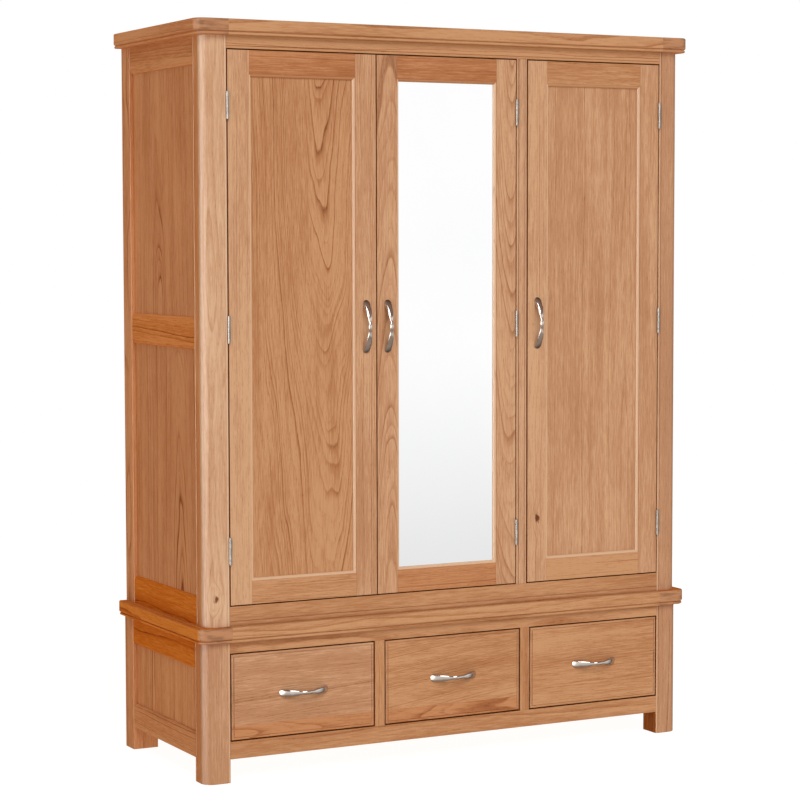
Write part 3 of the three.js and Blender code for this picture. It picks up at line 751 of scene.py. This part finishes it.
def make_cabinet_side(side_name, side):
    prefix = f"cabinet_{side_name}"
    top_low, top_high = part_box(f"{prefix}_top_rail")
    mid_low, mid_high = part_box(f"{prefix}_middle_rail")
    bottom_low, bottom_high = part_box(f"{prefix}_bottom_rail")
    rails = (
        ("top_rail", upper_rail_section(top_low.z, top_high.z), SIDE_OAK, 0.03),
        ("bottom_rail", lower_rail_section(bottom_low.z, bottom_high.z), warm_oak(side), 0.05),
        ("middle_rail", [*moulded_down(mid_low.z + MOULDING), *moulded_up(mid_high.z - MOULDING)],
         COPPER_OAK, 0.0),
    )
    for part, section, wood, tone in rails:
        side_board(f"{prefix}_{part}_board", f"{prefix}_{part}", side, section, wood, tone=tone)
    panel_low, panel_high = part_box(f"{prefix}_panel")
    joint = (mid_low.z + mid_high.z) / 2
    for part, z0, z1 in (("lower", panel_low.z, joint), ("upper", joint, panel_high.z)):
        made = board(f"{prefix}_{part}_panel", "carcass", (panel_low.x, panel_low.y, z0),
                     (panel_high.x, panel_high.y, z1), "side_oak", [f"{prefix}_panel"], soften=0.0003)
        pith = (panel_low.x + side * 0.07, 0.06 if part == "upper" else -0.08)
        oak(made, SIDE_OAK, "z", pith=pith, lean=(0.05 * side, 0.02), wander=0.030, figure=1.5)


# ---- divider, partition and boards inside ----


def make_partition():
    low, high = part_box("cabinet_partition")
    frieze_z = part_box("cabinet_frieze_rail")[0].z
    left = [(low.x + along, low.y + deep) for along, deep in bead_profile()]
    right = [(high.x - along, low.y + deep) for along, deep in reversed(bead_profile())]
    shape = bmesh.new()
    run(shape, [*left, *right, (high.x, RAIL_BACK), (low.x, RAIL_BACK)], "z", low.z, frieze_z)
    divider = piece("cabinet_divider", "carcass", shape, "front_oak", ["cabinet_partition"], soften=0.0003)
    oak(divider, PALE_OAK, "z", figure=0.7, lacquer=0.8)
    paint_gap_shade(divider)
    middle = (low.x + high.x) / 2
    half = PARTITION_THICKNESS / 2
    made = board("cabinet_partition_board", "carcass", (middle - half, RAIL_BACK, low.z),
                 (middle + half, high.y, high.z), "inner_wood", ["cabinet_partition"])
    oak(made, INNER_WOOD, "z", pith=(0.02, 0.05), figure=0.6)


def keep_frame_board(node, grain, figure=0.6):
    """A plain CAD board that only needs eased edges and its own grain."""
    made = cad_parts[node]
    eased = made.modifiers.new("eased_edges", "BEVEL")
    eased.width = EASED
    eased.segments = 2
    eased.limit_method = "ANGLE"
    eased.harden_normals = True
    oak(made, INNER_WOOD, grain, figure=figure)


# ---- bow handles ----

HANDLE_RINGS = 81
HANDLE_RING_POINTS = 32
HANDLE_TIP = 0.008
HANDLE_GRIP_HALF = 0.052
HANDLE_END_HALF = 0.0095
HANDLE_WAIST_HALF = 0.0042
HANDLE_THICKNESS = 0.0065
HANDLE_KNOT = 0.0011
HANDLE_KNOT_LENGTH = 0.008
HANDLE_NECK = 0.0010
HANDLE_NECK_PLACE = 0.016
HANDLE_NECK_LENGTH = 0.006
HANDLE_TAPER = 1.6
HANDLE_FLATNESS = 0.9
HANDLE_LEAST_HALF = 0.0003
HANDLE_BLUNTNESS = 0.0004


def bow_height(along, half_chord, crown):
    radius = (half_chord ** 2 + crown ** 2) / (2 * crown)
    return math.sqrt(max(radius ** 2 - along ** 2, 0.0)) - (radius - crown)


def swell(along):
    """A knot at the middle of the bow with a neck on each side of it."""
    knot = HANDLE_KNOT * math.exp(-(along / HANDLE_KNOT_LENGTH) ** 2)
    beside = (abs(along) - HANDLE_NECK_PLACE) / HANDLE_NECK_LENGTH
    return knot - HANDLE_NECK * math.exp(-beside ** 2)


def make_handle(node, body, upright):
    """A bow with broad flat ends and a pinched, rounder middle, standing on its face at y = high."""
    low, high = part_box(node)
    centre = (low + high) / 2
    half_length = max(high.x - low.x, high.z - low.z) / 2
    reach = high.y - low.y
    rings = []
    for i in range(HANDLE_RINGS):
        along = -half_length * math.cos(math.pi * (i + 0.5) / HANDLE_RINGS)
        outer = bow_height(along, half_length, reach - HANDLE_KNOT) + swell(along)
        inner = max(bow_height(along, HANDLE_GRIP_HALF, reach - HANDLE_THICKNESS), 0.0)
        if abs(along) >= HANDLE_GRIP_HALF:
            inner = 0.0
        to_tip = max(abs(along) - (half_length - HANDLE_TIP), 0.0) / HANDLE_TIP
        share = math.sin(min(abs(along) / (half_length - HANDLE_TIP), 1.0) * math.pi / 2) ** HANDLE_TAPER
        width = HANDLE_WAIST_HALF + (HANDLE_END_HALF - HANDLE_WAIST_HALF) * share
        width += swell(along)
        width *= math.sqrt(max(1.0 - to_tip ** 2, HANDLE_BLUNTNESS))
        squareness = 2.0 + HANDLE_FLATNESS * share
        middle = (outer + inner) / 2
        half = max((outer - inner) / 2, HANDLE_LEAST_HALF)
        ring = []
        for step in range(HANDLE_RING_POINTS):
            angle = 2 * math.pi * step / HANDLE_RING_POINTS
            cosine, sine = math.cos(angle), math.sin(angle)
            across = math.copysign(abs(cosine) ** (2 / squareness), cosine) * width
            up = middle + math.copysign(abs(sine) ** (2 / squareness), sine) * half
            if upright:
                ring.append((centre.x + across, high.y - up, centre.z + along))
            else:
                ring.append((centre.x + along, high.y - up, centre.z + across))
        rings.append(ring)
    shape = bmesh.new()
    loft(shape, rings)
    made = piece(f"{node}_bow", body, shape, "handle_nickel", [node], soften=0.0)
    finished(made, NICKEL)


# ---- butt hinges ----

KNUCKLES = 5
KNUCKLE_EASE = 0.0003
HINGE_GAP = 0.0001
HINGE_PIN = 0.0028
HINGE_PIN_EASE = 0.0004
HINGE_PIN_DROP = 0.0006
SCREW_RADIUS = 0.0032
SCREW_PLACES = (-0.72, 0.0, 0.72)
SCREW_FROM_BACK = 0.008
SCREW_SLOPE = 0.00006


def eased_rod(start, end, radius, length, drop):
    """A lathe profile whose radius drops by drop over length at both ends."""
    return [(start, radius - drop), (start + length, radius), (end - length, radius), (end, radius - drop)]


def make_hinge(node, body, door_side):
    """A butt hinge: a leaf and knuckles on the door, a leaf and knuckles on the carcass, and a pin."""
    low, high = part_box(node)
    pin_x = low.x + KNUCKLE_RADIUS
    pin_y = low.y + KNUCKLE_RADIUS
    centre = (pin_x, pin_y, (low.z + high.z) / 2)
    half = (high.z - low.z) / 2
    length = 2 * half / KNUCKLES
    for owner, parity in (("door", 1), ("carcass", 0)):
        shape = bmesh.new()
        for k in range(KNUCKLES):
            if k % 2 == parity:
                z0 = -half + k * length + HINGE_GAP
                z1 = z0 + length - 2 * HINGE_GAP
                knuckle = eased_rod(z0, z1, KNUCKLE_RADIUS, KNUCKLE_EASE, KNUCKLE_EASE)
                lathe(shape, centre, "z", knuckle, 24)
        sign = door_side if owner == "door" else -door_side
        xs = sorted((pin_x + sign * HINGE_GAP, pin_x + sign * (HINGE_GAP + LEAF_THICKNESS)))
        slab(shape, (xs[0], pin_y, low.z), (xs[1], high.y, high.z))
        for place in SCREW_PLACES:
            at = (pin_x, high.y - SCREW_FROM_BACK, centre[2] + place * half)
            face = [(sign * HINGE_GAP, SCREW_RADIUS)]
            face.append((sign * (HINGE_GAP - SCREW_SLOPE), SCREW_RADIUS * 0.8))
            lathe(shape, at, "x", face, 16)
        rider = body if owner == "door" else "carcass"
        made = piece(f"{node}_{owner}_leaf", rider, shape, "hinge_nickel", [node], soften=0.0)
        finished(made, HINGE_STEEL)
    shape = bmesh.new()
    pin = eased_rod(-half, half, HINGE_PIN, HINGE_PIN_EASE, HINGE_PIN_DROP)
    lathe(shape, centre, "z", pin, 16)
    finished(piece(f"{node}_pin", "carcass", shape, "hinge_nickel", [node], soften=0.0), HINGE_STEEL)


# ---- doors ----


def door_board(name, body, node, low, high, strip, grain, wood=PALE_OAK, **look):
    """A stile or rail and the moulding along its inner edge.

    strip is (edge, inward, start, end): the place of the inner edge, the direction of the
    opening, and where the moulding's mitred ends start.
    """
    edge, inward, start, end = strip
    depth = high[1] - low[1]
    front = [(beyond, deep) for beyond, deep in moulding_profile()[1:]]
    back = [(beyond, depth - deep) for beyond, deep in reversed(front)]
    outline = [(edge + inward * beyond, low[1] + deep) for beyond, deep in [*front, *back]]
    shape = bmesh.new()
    slab(shape, low, high)
    strip_shape = bmesh.new()
    if grain == "x":
        outline = [(b, a) for a, b in outline]
    run(strip_shape, outline, grain, mitred(start, 1, grain, edge), mitred(end, -1, grain, edge))
    made = piece(name, body, shape, "front_oak", [node])
    moulding = piece(f"{name}_moulding", body, strip_shape, "front_oak", [node], soften=0.0)
    oak(made, wood, grain, **look)
    # Painted highlight: the moulding is a paler, fully lacquered copy of the board's oak, in the palest
    # oak on the stiles and the bottom rail; the top rail's moulding faces down and keeps the rail's own
    # darker colours, painted shade.
    moulding_highlight = reshaded(made.data.materials[0], MOULDING_HIGHLIGHT_TONE, 1.0)
    if grain == "z" or inward > 0:
        restained(moulding_highlight, BLOND_OAK)
    finished(moulding, moulding_highlight)
    paint_gap_shade(made)


def make_door(name, hinge_side, looks, panel_look):
    """hinge_side is -1 for hinges on the left edge and 1 for the right edge."""
    node = f"{name}_frame"
    low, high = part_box(node)
    x0, x1 = low.x + STILE, high.x - STILE
    z0, z1 = low.z + STILE, high.z - STILE
    boards = (
        ("left_stile", (low.x, low.y, low.z), (x0, high.y, high.z), (x0, 1, z0, z1), "z"),
        ("right_stile", (x1, low.y, low.z), (high.x, high.y, high.z), (x1, -1, z0, z1), "z"),
        ("bottom_rail", (x0, low.y, low.z), (x1, high.y, z0), (z0, 1, x0, x1), "x"),
        ("top_rail", (x0, low.y, z1), (x1, high.y, high.z), (z1, -1, x0, x1), "x"),
    )
    for part, corner, opposite, strip, grain in boards:
        door_board(f"{name}_{part}", name, node, corner, opposite, strip, grain, **looks.get(part, {}))
    if panel_look is not None:
        panel = f"{name}_panel"
        made = board(f"{panel}_board", name, *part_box(panel), "front_oak", [panel], soften=0.0002)
        oak(made, **{"wood": FRONT_OAK, "grain": "z", **panel_look})
    else:
        make_mirror(name)
    make_handle(f"{name}_handle", name, upright=True)
    for place in ("bottom", "middle", "top"):
        make_hinge(f"{name}_hinge_{place}", name, -hinge_side)


def make_mirror(name):
    """A silvered pane and the hardboard that backs it."""
    node = f"{name}_glass"
    low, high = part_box(node)
    joint = low.y + GLASS_THICKNESS
    pane = board(f"{name}_pane", name, low, (high.x, joint, high.z), "mirror_glass", [node], soften=0.0003)
    finished(pane, SILVERING)
    backing = board(f"{name}_backing", name, (low.x, joint, low.z), high, "inner_wood", [node])
    finished(backing, HARDBOARD)


# ---- drawers ----


def bead_strip(shape, axis, edge, inward, start, end, front):
    """A rounded bead along an edge of a drawer front, from the face down to the quirk."""
    curve = bead_profile()[:-2]
    outline = [(edge + inward * along, front + deep) for along, deep in curve]
    if axis == "x":
        outline = [(b, a) for a, b in outline]
    run(shape, outline, axis, start, end)


def make_drawer_front(name, looks):
    """Two glued boards with a bead worked round the edge, mitred at the corners."""
    node = f"{name}_front"
    low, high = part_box(node)
    joint = DRAWER_JOINT_Z
    field = BEAD + QUIRK
    for part, z0, z1 in (("lower", low.z, joint), ("upper", joint, high.z)):
        shape = bmesh.new()
        slab(shape, (low.x, low.y + BEAD_DEPTH, z0), (high.x, high.y, z1))
        is_lower = part == "lower"
        field_z0 = z0 + field if is_lower else z0
        field_z1 = z1 if is_lower else z1 - field
        made = piece(f"{name}_front_{part}_board", name, shape, "front_oak", [node], soften=0.0002)
        oak(made, **{"wood": FRONT_OAK, "grain": "x", **looks[part]})
        face = bmesh.new()
        slab(face, (low.x + field, low.y, field_z0), (high.x - field, low.y + BEAD_DEPTH, field_z1))
        flat = piece(f"{name}_front_{part}_field", name, face, "front_oak", [node], soften=0.0002)
        finished(flat, made.data.materials[0])
        beads = bmesh.new()
        end_z = low.z if is_lower else high.z
        for edge, inward in ((low.x, 1), (high.x, -1)):
            start = mitred(low.z, 1, "z", edge) if is_lower else joint
            end = joint if is_lower else mitred(high.z, -1, "z", edge)
            bead_strip(beads, "z", edge, inward, start, end, low.y)
        stops = (mitred(low.x, 1, "x", end_z), mitred(high.x, -1, "x", end_z))
        bead_strip(beads, "x", end_z, 1 if is_lower else -1, *stops, low.y)
        trim = piece(f"{name}_front_{part}_bead", name, beads, "front_oak", [node], soften=0.0)
        finished(trim, made.data.materials[0])
        paint_gap_shade(made)


DOVETAILS = 5
DOVETAIL_INSET = 0.22  # shares of the distance between two tails
DOVETAIL_FLARE = 0.10


def make_drawer_box(name):
    """Sides, a back and an inner front joined by dovetails, and a bottom let in between them."""
    node = f"{name}_box"
    low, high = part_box(node)
    side = DRAWER_SIDE
    pitch = (high.z - low.z) / DOVETAILS
    inset = pitch * DOVETAIL_INSET
    flare = pitch * DOVETAIL_FLARE

    def fingers(y_end, inward):
        """The end of a side board: narrow necks at the shoulder that widen to the end grain."""
        edge = []
        for k in range(DOVETAILS):
            z0 = low.z + k * pitch
            z1 = z0 + pitch
            shoulder = y_end + inward * side
            edge += [(shoulder, z0 + inset + flare), (y_end, z0 + inset)]
            edge += [(y_end, z1 - inset), (shoulder, z1 - inset - flare)]
        return edge

    front_edge = fingers(low.y, 1)
    back_edge = fingers(high.y, -1)
    outline = [(low.y + side, low.z), *front_edge, (low.y + side, high.z),
               (high.y - side, high.z), *reversed(back_edge), (high.y - side, low.z)]
    walls = (("left", low.x, low.x + side), ("right", high.x - side, high.x))
    for side_name, x0, x1 in walls:
        shape = bmesh.new()
        run(shape, outline, "x", x0, x1)
        made = piece(f"{name}_box_{side_name}_side", name, shape, "inner_wood", [node], soften=0.0002)
        oak(made, INNER_WOOD, "y", figure=0.7)
    for part, y0, y1, edge in (("front", low.y, low.y + side, front_edge),
                               ("back", high.y - side, high.y, back_edge)):
        shape = bmesh.new()
        slab(shape, (low.x + side, y0, low.z), (high.x - side, y1, high.z))
        for _, x0, x1 in walls:
            for k in range(DOVETAILS + 1):
                run(shape, pin_outline(edge, k, low.z, high.z), "x", x0, x1)
        made = piece(f"{name}_box_{part}", name, shape, "inner_wood", [node], soften=0.0002)
        oak(made, INNER_WOOD, "x", figure=0.7)
    bottom_z = low.z + DRAWER_BOTTOM_LIFT
    made = board(f"{name}_box_bottom", name, (low.x + side, low.y + side, bottom_z),
                 (high.x - side, high.y - side, bottom_z + DRAWER_BOTTOM), "inner_wood", [node])
    oak(made, INNER_WOOD, "x", figure=0.5)


def pin_outline(edge, k, z0, z1):
    """The k-th pin between the tails of a side board, as (y, z)."""
    shoulder_y, end_y = edge[0][0], edge[1][0]
    below = edge[4 * k - 2:4 * k] if k > 0 else [(end_y, z0), (shoulder_y, z0)]
    above = edge[4 * k:4 * k + 2] if k < DOVETAILS else [(shoulder_y, z1), (end_y, z1)]
    return [below[1], below[0], above[1], above[0]]


def make_drawer(name, looks):
    make_drawer_front(name, looks)
    make_drawer_box(name)
    make_handle(f"{name}_handle", name, upright=False)


# ---- hanging rails ----

RAIL_END_GAP = 0.001
# A socket from its flange inwards, as (distance from the end, radius).
SOCKET_STEPS = (
    (0.0, 0.021), (0.0025, 0.021), (0.0035, 0.020), (0.004, 0.0165), (0.014, 0.0160), (0.015, 0.0150),
)


def make_hanging_rail(node):
    """A tube between two turned sockets."""
    low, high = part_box(node)
    centre = (0.0, (low.y + high.y) / 2, (low.z + high.z) / 2)
    radius = (high.z - low.z) / 2
    profiles = {"tube": [(low.x + RAIL_END_GAP, radius), (high.x - RAIL_END_GAP, radius)]}
    for end_name, end, inward in (("left", low.x, 1), ("right", high.x, -1)):
        profiles[f"{end_name}_socket"] = [(end + inward * along, wide) for along, wide in SOCKET_STEPS]
    for part, profile in profiles.items():
        shape = bmesh.new()
        lathe(shape, centre, "x", profile, 40)
        made = piece(f"{node}_{part}", "carcass", shape, "rail_steel", [node], soften=0.0)
        finished(made, RAIL_STEEL)


# ---- screws, bolts and catches ----

SCREW_HEAD = 0.0038
SCREW_RISE = 0.0018
BOLT_HEAD = 0.0085
BOLT_RISE = 0.0030
SCREW_INSET = 0.014
BOLT_INSET = 0.055
JOINT_STRIP_WIDTH = 0.022
JOINT_STRIP_THICKNESS = 0.0012
JOINT_STRIP_SUNK = 0.0002
CATCH_FROM_EDGE = 0.075
CATCH_HALF = 0.022
CATCH_REACH = 0.014
CATCH_DROP = 0.018
CATCH_RISE = 0.020
CATCH_GAP = 0.001
CATCH_PLATE = 0.004
STRIKE_THICKNESS = 0.0012
STRIKE_FROM_TOP = 0.002


def make_head(name, centre, axis, outward, radius, rise, body="carcass"):
    """A domed head with a dimple at its middle, standing on a surface."""
    shape = bmesh.new()
    steps = ((-0.1, 1.0), (0.45, 1.0), (0.85, 0.78), (1.0, 0.45), (0.95, 0.36), (0.4, 0.12))
    profile = [(outward * rise * up, radius * wide) for up, wide in steps]
    lathe(shape, centre, axis, profile, 16)
    finished(piece(name, body, shape, "rail_steel", [], soften=0.0), RAIL_STEEL)


def evenly(start, end, count):
    return [start + (end - start) * i / (count - 1) for i in range(count)]


def make_back_screws(node, across, up):
    """Screws round the edge of a back board, across along the top and bottom and up each side."""
    low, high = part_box(node)
    x0, x1 = low.x + SCREW_INSET, high.x - SCREW_INSET
    z0, z1 = low.z + SCREW_INSET, high.z - SCREW_INSET
    places = [(x, z) for z in (z0, z1) for x in evenly(x0, x1, across)]
    places += [(x, z) for x in (x0, x1) for z in evenly(z0, z1, up)[1:-1]]
    for i, (x, z) in enumerate(places):
        make_head(f"{node}_screw_{i + 1}", (x, high.y, z), "y", 1, SCREW_HEAD, SCREW_RISE)


def make_joint_strip():
    """The strip that covers the joint between the two halves of the cabinet's back."""
    low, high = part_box("cabinet_back_panel")
    half = JOINT_STRIP_WIDTH / 2
    strip = board("cabinet_back_joint_strip", "carcass", (-half, high.y - JOINT_STRIP_SUNK, low.z),
                  (half, high.y + JOINT_STRIP_THICKNESS, high.z), "inner_wood", [])
    finished(strip, HARDBOARD)


def make_floor_bolts():
    """Four bolts through the cabinet's floor into the waist board."""
    low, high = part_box("cabinet_floor")
    count = 0
    for x in (-OPENING_HALF + BOLT_INSET, OPENING_HALF - BOLT_INSET):
        for y in (low.y + BOLT_INSET, high.y - BOLT_INSET):
            count += 1
            make_head(f"cabinet_bolt_{count}", (x, y, high.z), "z", 1, BOLT_HEAD, BOLT_RISE)


def make_catch(door, hinge_side):
    """A ball catch behind the frieze rail and its strike plate on the door's back."""
    low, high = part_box(f"{door}_frame")
    x = high.x - CATCH_FROM_EDGE if hinge_side < 0 else low.x + CATCH_FROM_EDGE
    x0, x1 = x - CATCH_HALF, x + CATCH_HALF
    lowest = high.z - CATCH_DROP
    plate = board(f"{door}_strike_plate", door, (x0, high.y, lowest),
                  (x1, high.y + STRIKE_THICKNESS, high.z - STRIKE_FROM_TOP), "hinge_nickel", [])
    finished(plate, HINGE_STEEL)
    frieze_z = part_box("cabinet_frieze_rail")[0].z
    top = frieze_z + CATCH_RISE
    shape = bmesh.new()
    slab(shape, (x0, RAIL_BACK, frieze_z + CATCH_GAP), (x1, RAIL_BACK + CATCH_PLATE, top))
    slab(shape, (x0, RAIL_BACK + CATCH_PLATE / 2, lowest), (x1, RAIL_BACK + CATCH_REACH, top))
    finished(piece(f"{door}_catch", "carcass", shape, "hinge_nickel", []), HINGE_STEEL)


def make_fixings():
    make_back_screws("cabinet_back_panel", 8, 8)
    make_back_screws("base_back_board", 7, 3)
    make_joint_strip()
    make_floor_bolts()
    for door, hinge_side in (("left_door", -1), ("mirror_door", 1), ("right_door", 1)):
        make_catch(door, hinge_side)


# ---- the whole wardrobe ----


def make_base():
    front_rail("base_front_bottom_rail", tone=0.04)
    front_rail("base_front_top_rail", tone=0.02)
    for side_name, side in SIDES:
        node = f"drawer_divider_{side_name}"
        divider = board(f"{node}_board", "carcass", *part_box(node), "front_oak", [node])
        oak(divider, FRONT_OAK, "z", tone=-0.04)
        paint_gap_shade(divider)
        make_base_side(side_name, side)
    make_slab("waist_board", AMBER_OAK, 0.45)
    keep_frame_board("base_back_board", "x")
    keep_frame_board("base_dust_board", "x", 0.5)


def make_cabinet():
    front_rail("cabinet_bottom_rail", FOOT_BEAD, tone=0.06)
    front_rail("cabinet_frieze_rail", BEAD, tone=-0.10)
    for side_name, side in SIDES:
        make_cabinet_side(side_name, side)
        make_hanging_rail(f"hanging_rail_{side_name}")
    make_partition()
    keep_frame_board("cabinet_floor", "x")
    keep_frame_board("cabinet_back_panel", "z")
    make_slab("cornice", SIDE_OAK, 0.10)


def make_doors():
    make_door("left_door", -1, {
        "left_stile": {"figure": 0.6},
        "right_stile": {"figure": 0.7, "tone": 0.02},
        "top_rail": {"wood": RUSSET_OAK, "figure": 0.8, "tone": 0.08},
        "bottom_rail": {"wood": FRONT_OAK},
    }, {
        "pith": (-0.372, -0.150), "lean": (0.0, -0.085), "ring": 0.0046, "wander": 0.050, "figure": 1.0,
        "tone": 0.05,
    })
    make_door("mirror_door", 1, {
        "left_stile": {"pith": (-0.190, -0.200), "lean": (0.0, 0.05), "figure": 0.7},
        "right_stile": {"pith": (0.180, -0.190), "lean": (0.0, -0.07), "figure": 0.8},
        "top_rail": {"wood": RUSSET_OAK, "tone": 0.14},
        "bottom_rail": {"wood": RUSSET_OAK, "tone": -0.06},
    }, None)
    make_door("right_door", 1, {
        "left_stile": {"tone": -0.02, "knot": (0.635, 0.262), "knot_size": 0.011, "figure": 0.6},
        "right_stile": {"figure": 0.6, "tone": 0.12},
        "top_rail": {"wood": FRONT_OAK},
        "bottom_rail": {"wood": FRONT_OAK, "tone": -0.06},
    }, {
        "wood": PALE_OAK, "pith": (0.552, -0.222), "lean": (0.0, 0.015), "ring": 0.0034, "wander": 0.020,
        "tone": 0.06, "figure": 0.55,
    })


def make_drawers():
    russet = {"wood": RUSSET_OAK, "tone": -0.06, "wander": 0.050, "figure": 0.8}
    looks = {
        "left": {
            "upper": {"wood": PALE_OAK, "wander": 0.030, "pith": (0.20, -0.19), "lean": (0.0, 0.03),
                      "figure": 0.5, "tone": 0.12},
            "lower": {**russet, "pith": (-0.200, 0.118), "lean": (0.05, 0.03)},
        },
        "middle": {
            "upper": {"pith": (0.205, -0.18), "lean": (0.0, 0.14), "figure": 0.55, "tone": 0.04},
            "lower": {**russet, "pith": (-0.205, 0.142), "lean": (-0.05, 0.03)},
        },
        "right": {
            "upper": {"pith": (0.16, -0.15), "lean": (0.02, 0.06), "figure": 0.5, "tone": 0.06},
            "lower": {},
        },
    }
    for place, boards in looks.items():
        make_drawer(f"{place}_drawer", boards)


# ---- studio ----

WHITE = (1.0, 1.0, 1.0, 1.0)
FLOOR_RADIUS = 4.0
FLOOR_COLOUR = (0.16, 0.16, 0.16, 1.0)
FLOOR_GLOW = (0.93, 0.93, 0.93, 1.0)
KEY_STRENGTH = 1.52
KEY_SPREAD = math.radians(35)
KEY_COLOUR = (0.96, 1.0, 1.05)
KEY_TOWARDS = Vector((-0.16, -1.0, 0.80))
KEY_DISTANCE = 5.0
LEFT_LIGHT = 6.5
ABOVE_TINT = (1.0, 0.66, 0.53, 1.0)
BELOW_TINT = (1.0, 0.84, 0.73, 1.0)
ROOM_FILL = (0.485, 0.432, 0.352, 1.0)
FLOOR_FILL = (0.88, 0.76, 0.61, 1.0)


def make_floor():
    """A pale, faintly glowing disc, so that the object's own shadow stays soft."""
    shape = bmesh.new()
    bmesh.ops.create_circle(shape, cap_ends=True, radius=FLOOR_RADIUS, segments=128)
    mesh = bpy.data.meshes.new("floor")
    shape.to_mesh(mesh)
    shape.free()
    floor = add_object("floor", mesh)
    paint, shader, surface = new_material("studio_floor")
    shader.fill(surface, {
        "Base Color": FLOOR_COLOUR,
        "Roughness": 0.9,
        "Specular IOR Level": 0.0,
        "Emission Color": FLOOR_GLOW,
        "Emission Strength": 1.0,
    })
    floor.visible_glossy = False
    floor.visible_diffuse = False
    mesh.materials.append(paint)


def make_world():
    """White to the eye and a warm fill on surfaces, from the floor below and the room above.

    Reflections see a wide light ahead, a strong low one far to the left, and dimmer, tinted air
    steeply above and below.
    """
    world = bpy.data.worlds.new("studio")
    world.use_nodes = True
    scene.world = world
    shader = Shader(world.node_tree)
    background = world.node_tree.nodes["Background"]
    direction = shader.add("ShaderNodeTexCoord").outputs["Generated"]
    split = shader.split(direction)
    below = shader.spread(split["Z"], -0.17, -0.04, 0.78, 1.0)
    far_below = shader.spread(split["Z"], -0.50, -0.20, 0.50, 1.0)
    above = shader.spread(split["Z"], 0.12, 0.45, 1.0, 0.30)
    ahead = shader.spread(split["Y"], -0.45, 0.1, 1.0, 0.10)
    shine = shader.times(shader.times(below, above), shader.times(ahead, far_below))
    leftward = shader.spread(split["X"], -0.98, -0.66, LEFT_LIGHT, 0.0)
    level = shader.spread(shader.math("ABSOLUTE", split["Z"]), 0.06, 0.36, 1.0, 0.0)
    shine = shader.added(leftward, level, shine)
    steep = shader.spread(shader.math("ABSOLUTE", split["Z"]), 0.18, 0.42)
    away = shader.mix(shader.spread(split["Z"], -0.1, 0.1), BELOW_TINT, ABOVE_TINT)
    reflected = shader.scaled(shader.mix(steep, WHITE, away), shine)
    rays = shader.add("ShaderNodeLightPath").outputs
    seen = shader.mix(rays["Is Glossy Ray"], WHITE, reflected)
    fill = shader.mix(shader.spread(split["Z"], -0.12, 0.0), FLOOR_FILL, ROOM_FILL)
    lit = shader.mix(rays["Is Diffuse Ray"], seen, fill)
    shader.feed(background.inputs["Color"], lit)


def make_key_light():
    sun = bpy.data.lights.new("key", "SUN")
    sun.energy = KEY_STRENGTH
    sun.angle = KEY_SPREAD
    sun.color = KEY_COLOUR
    key = add_object("key", sun)
    key.rotation_mode = "QUATERNION"
    key.rotation_quaternion = KEY_TOWARDS.to_track_quat("Z", "Y")
    key.location = KEY_TOWARDS * KEY_DISTANCE


make_camera()
make_floor()
make_world()
make_key_light()
make_posts()
make_base()
make_cabinet()
make_doors()
make_drawers()
make_fixings()
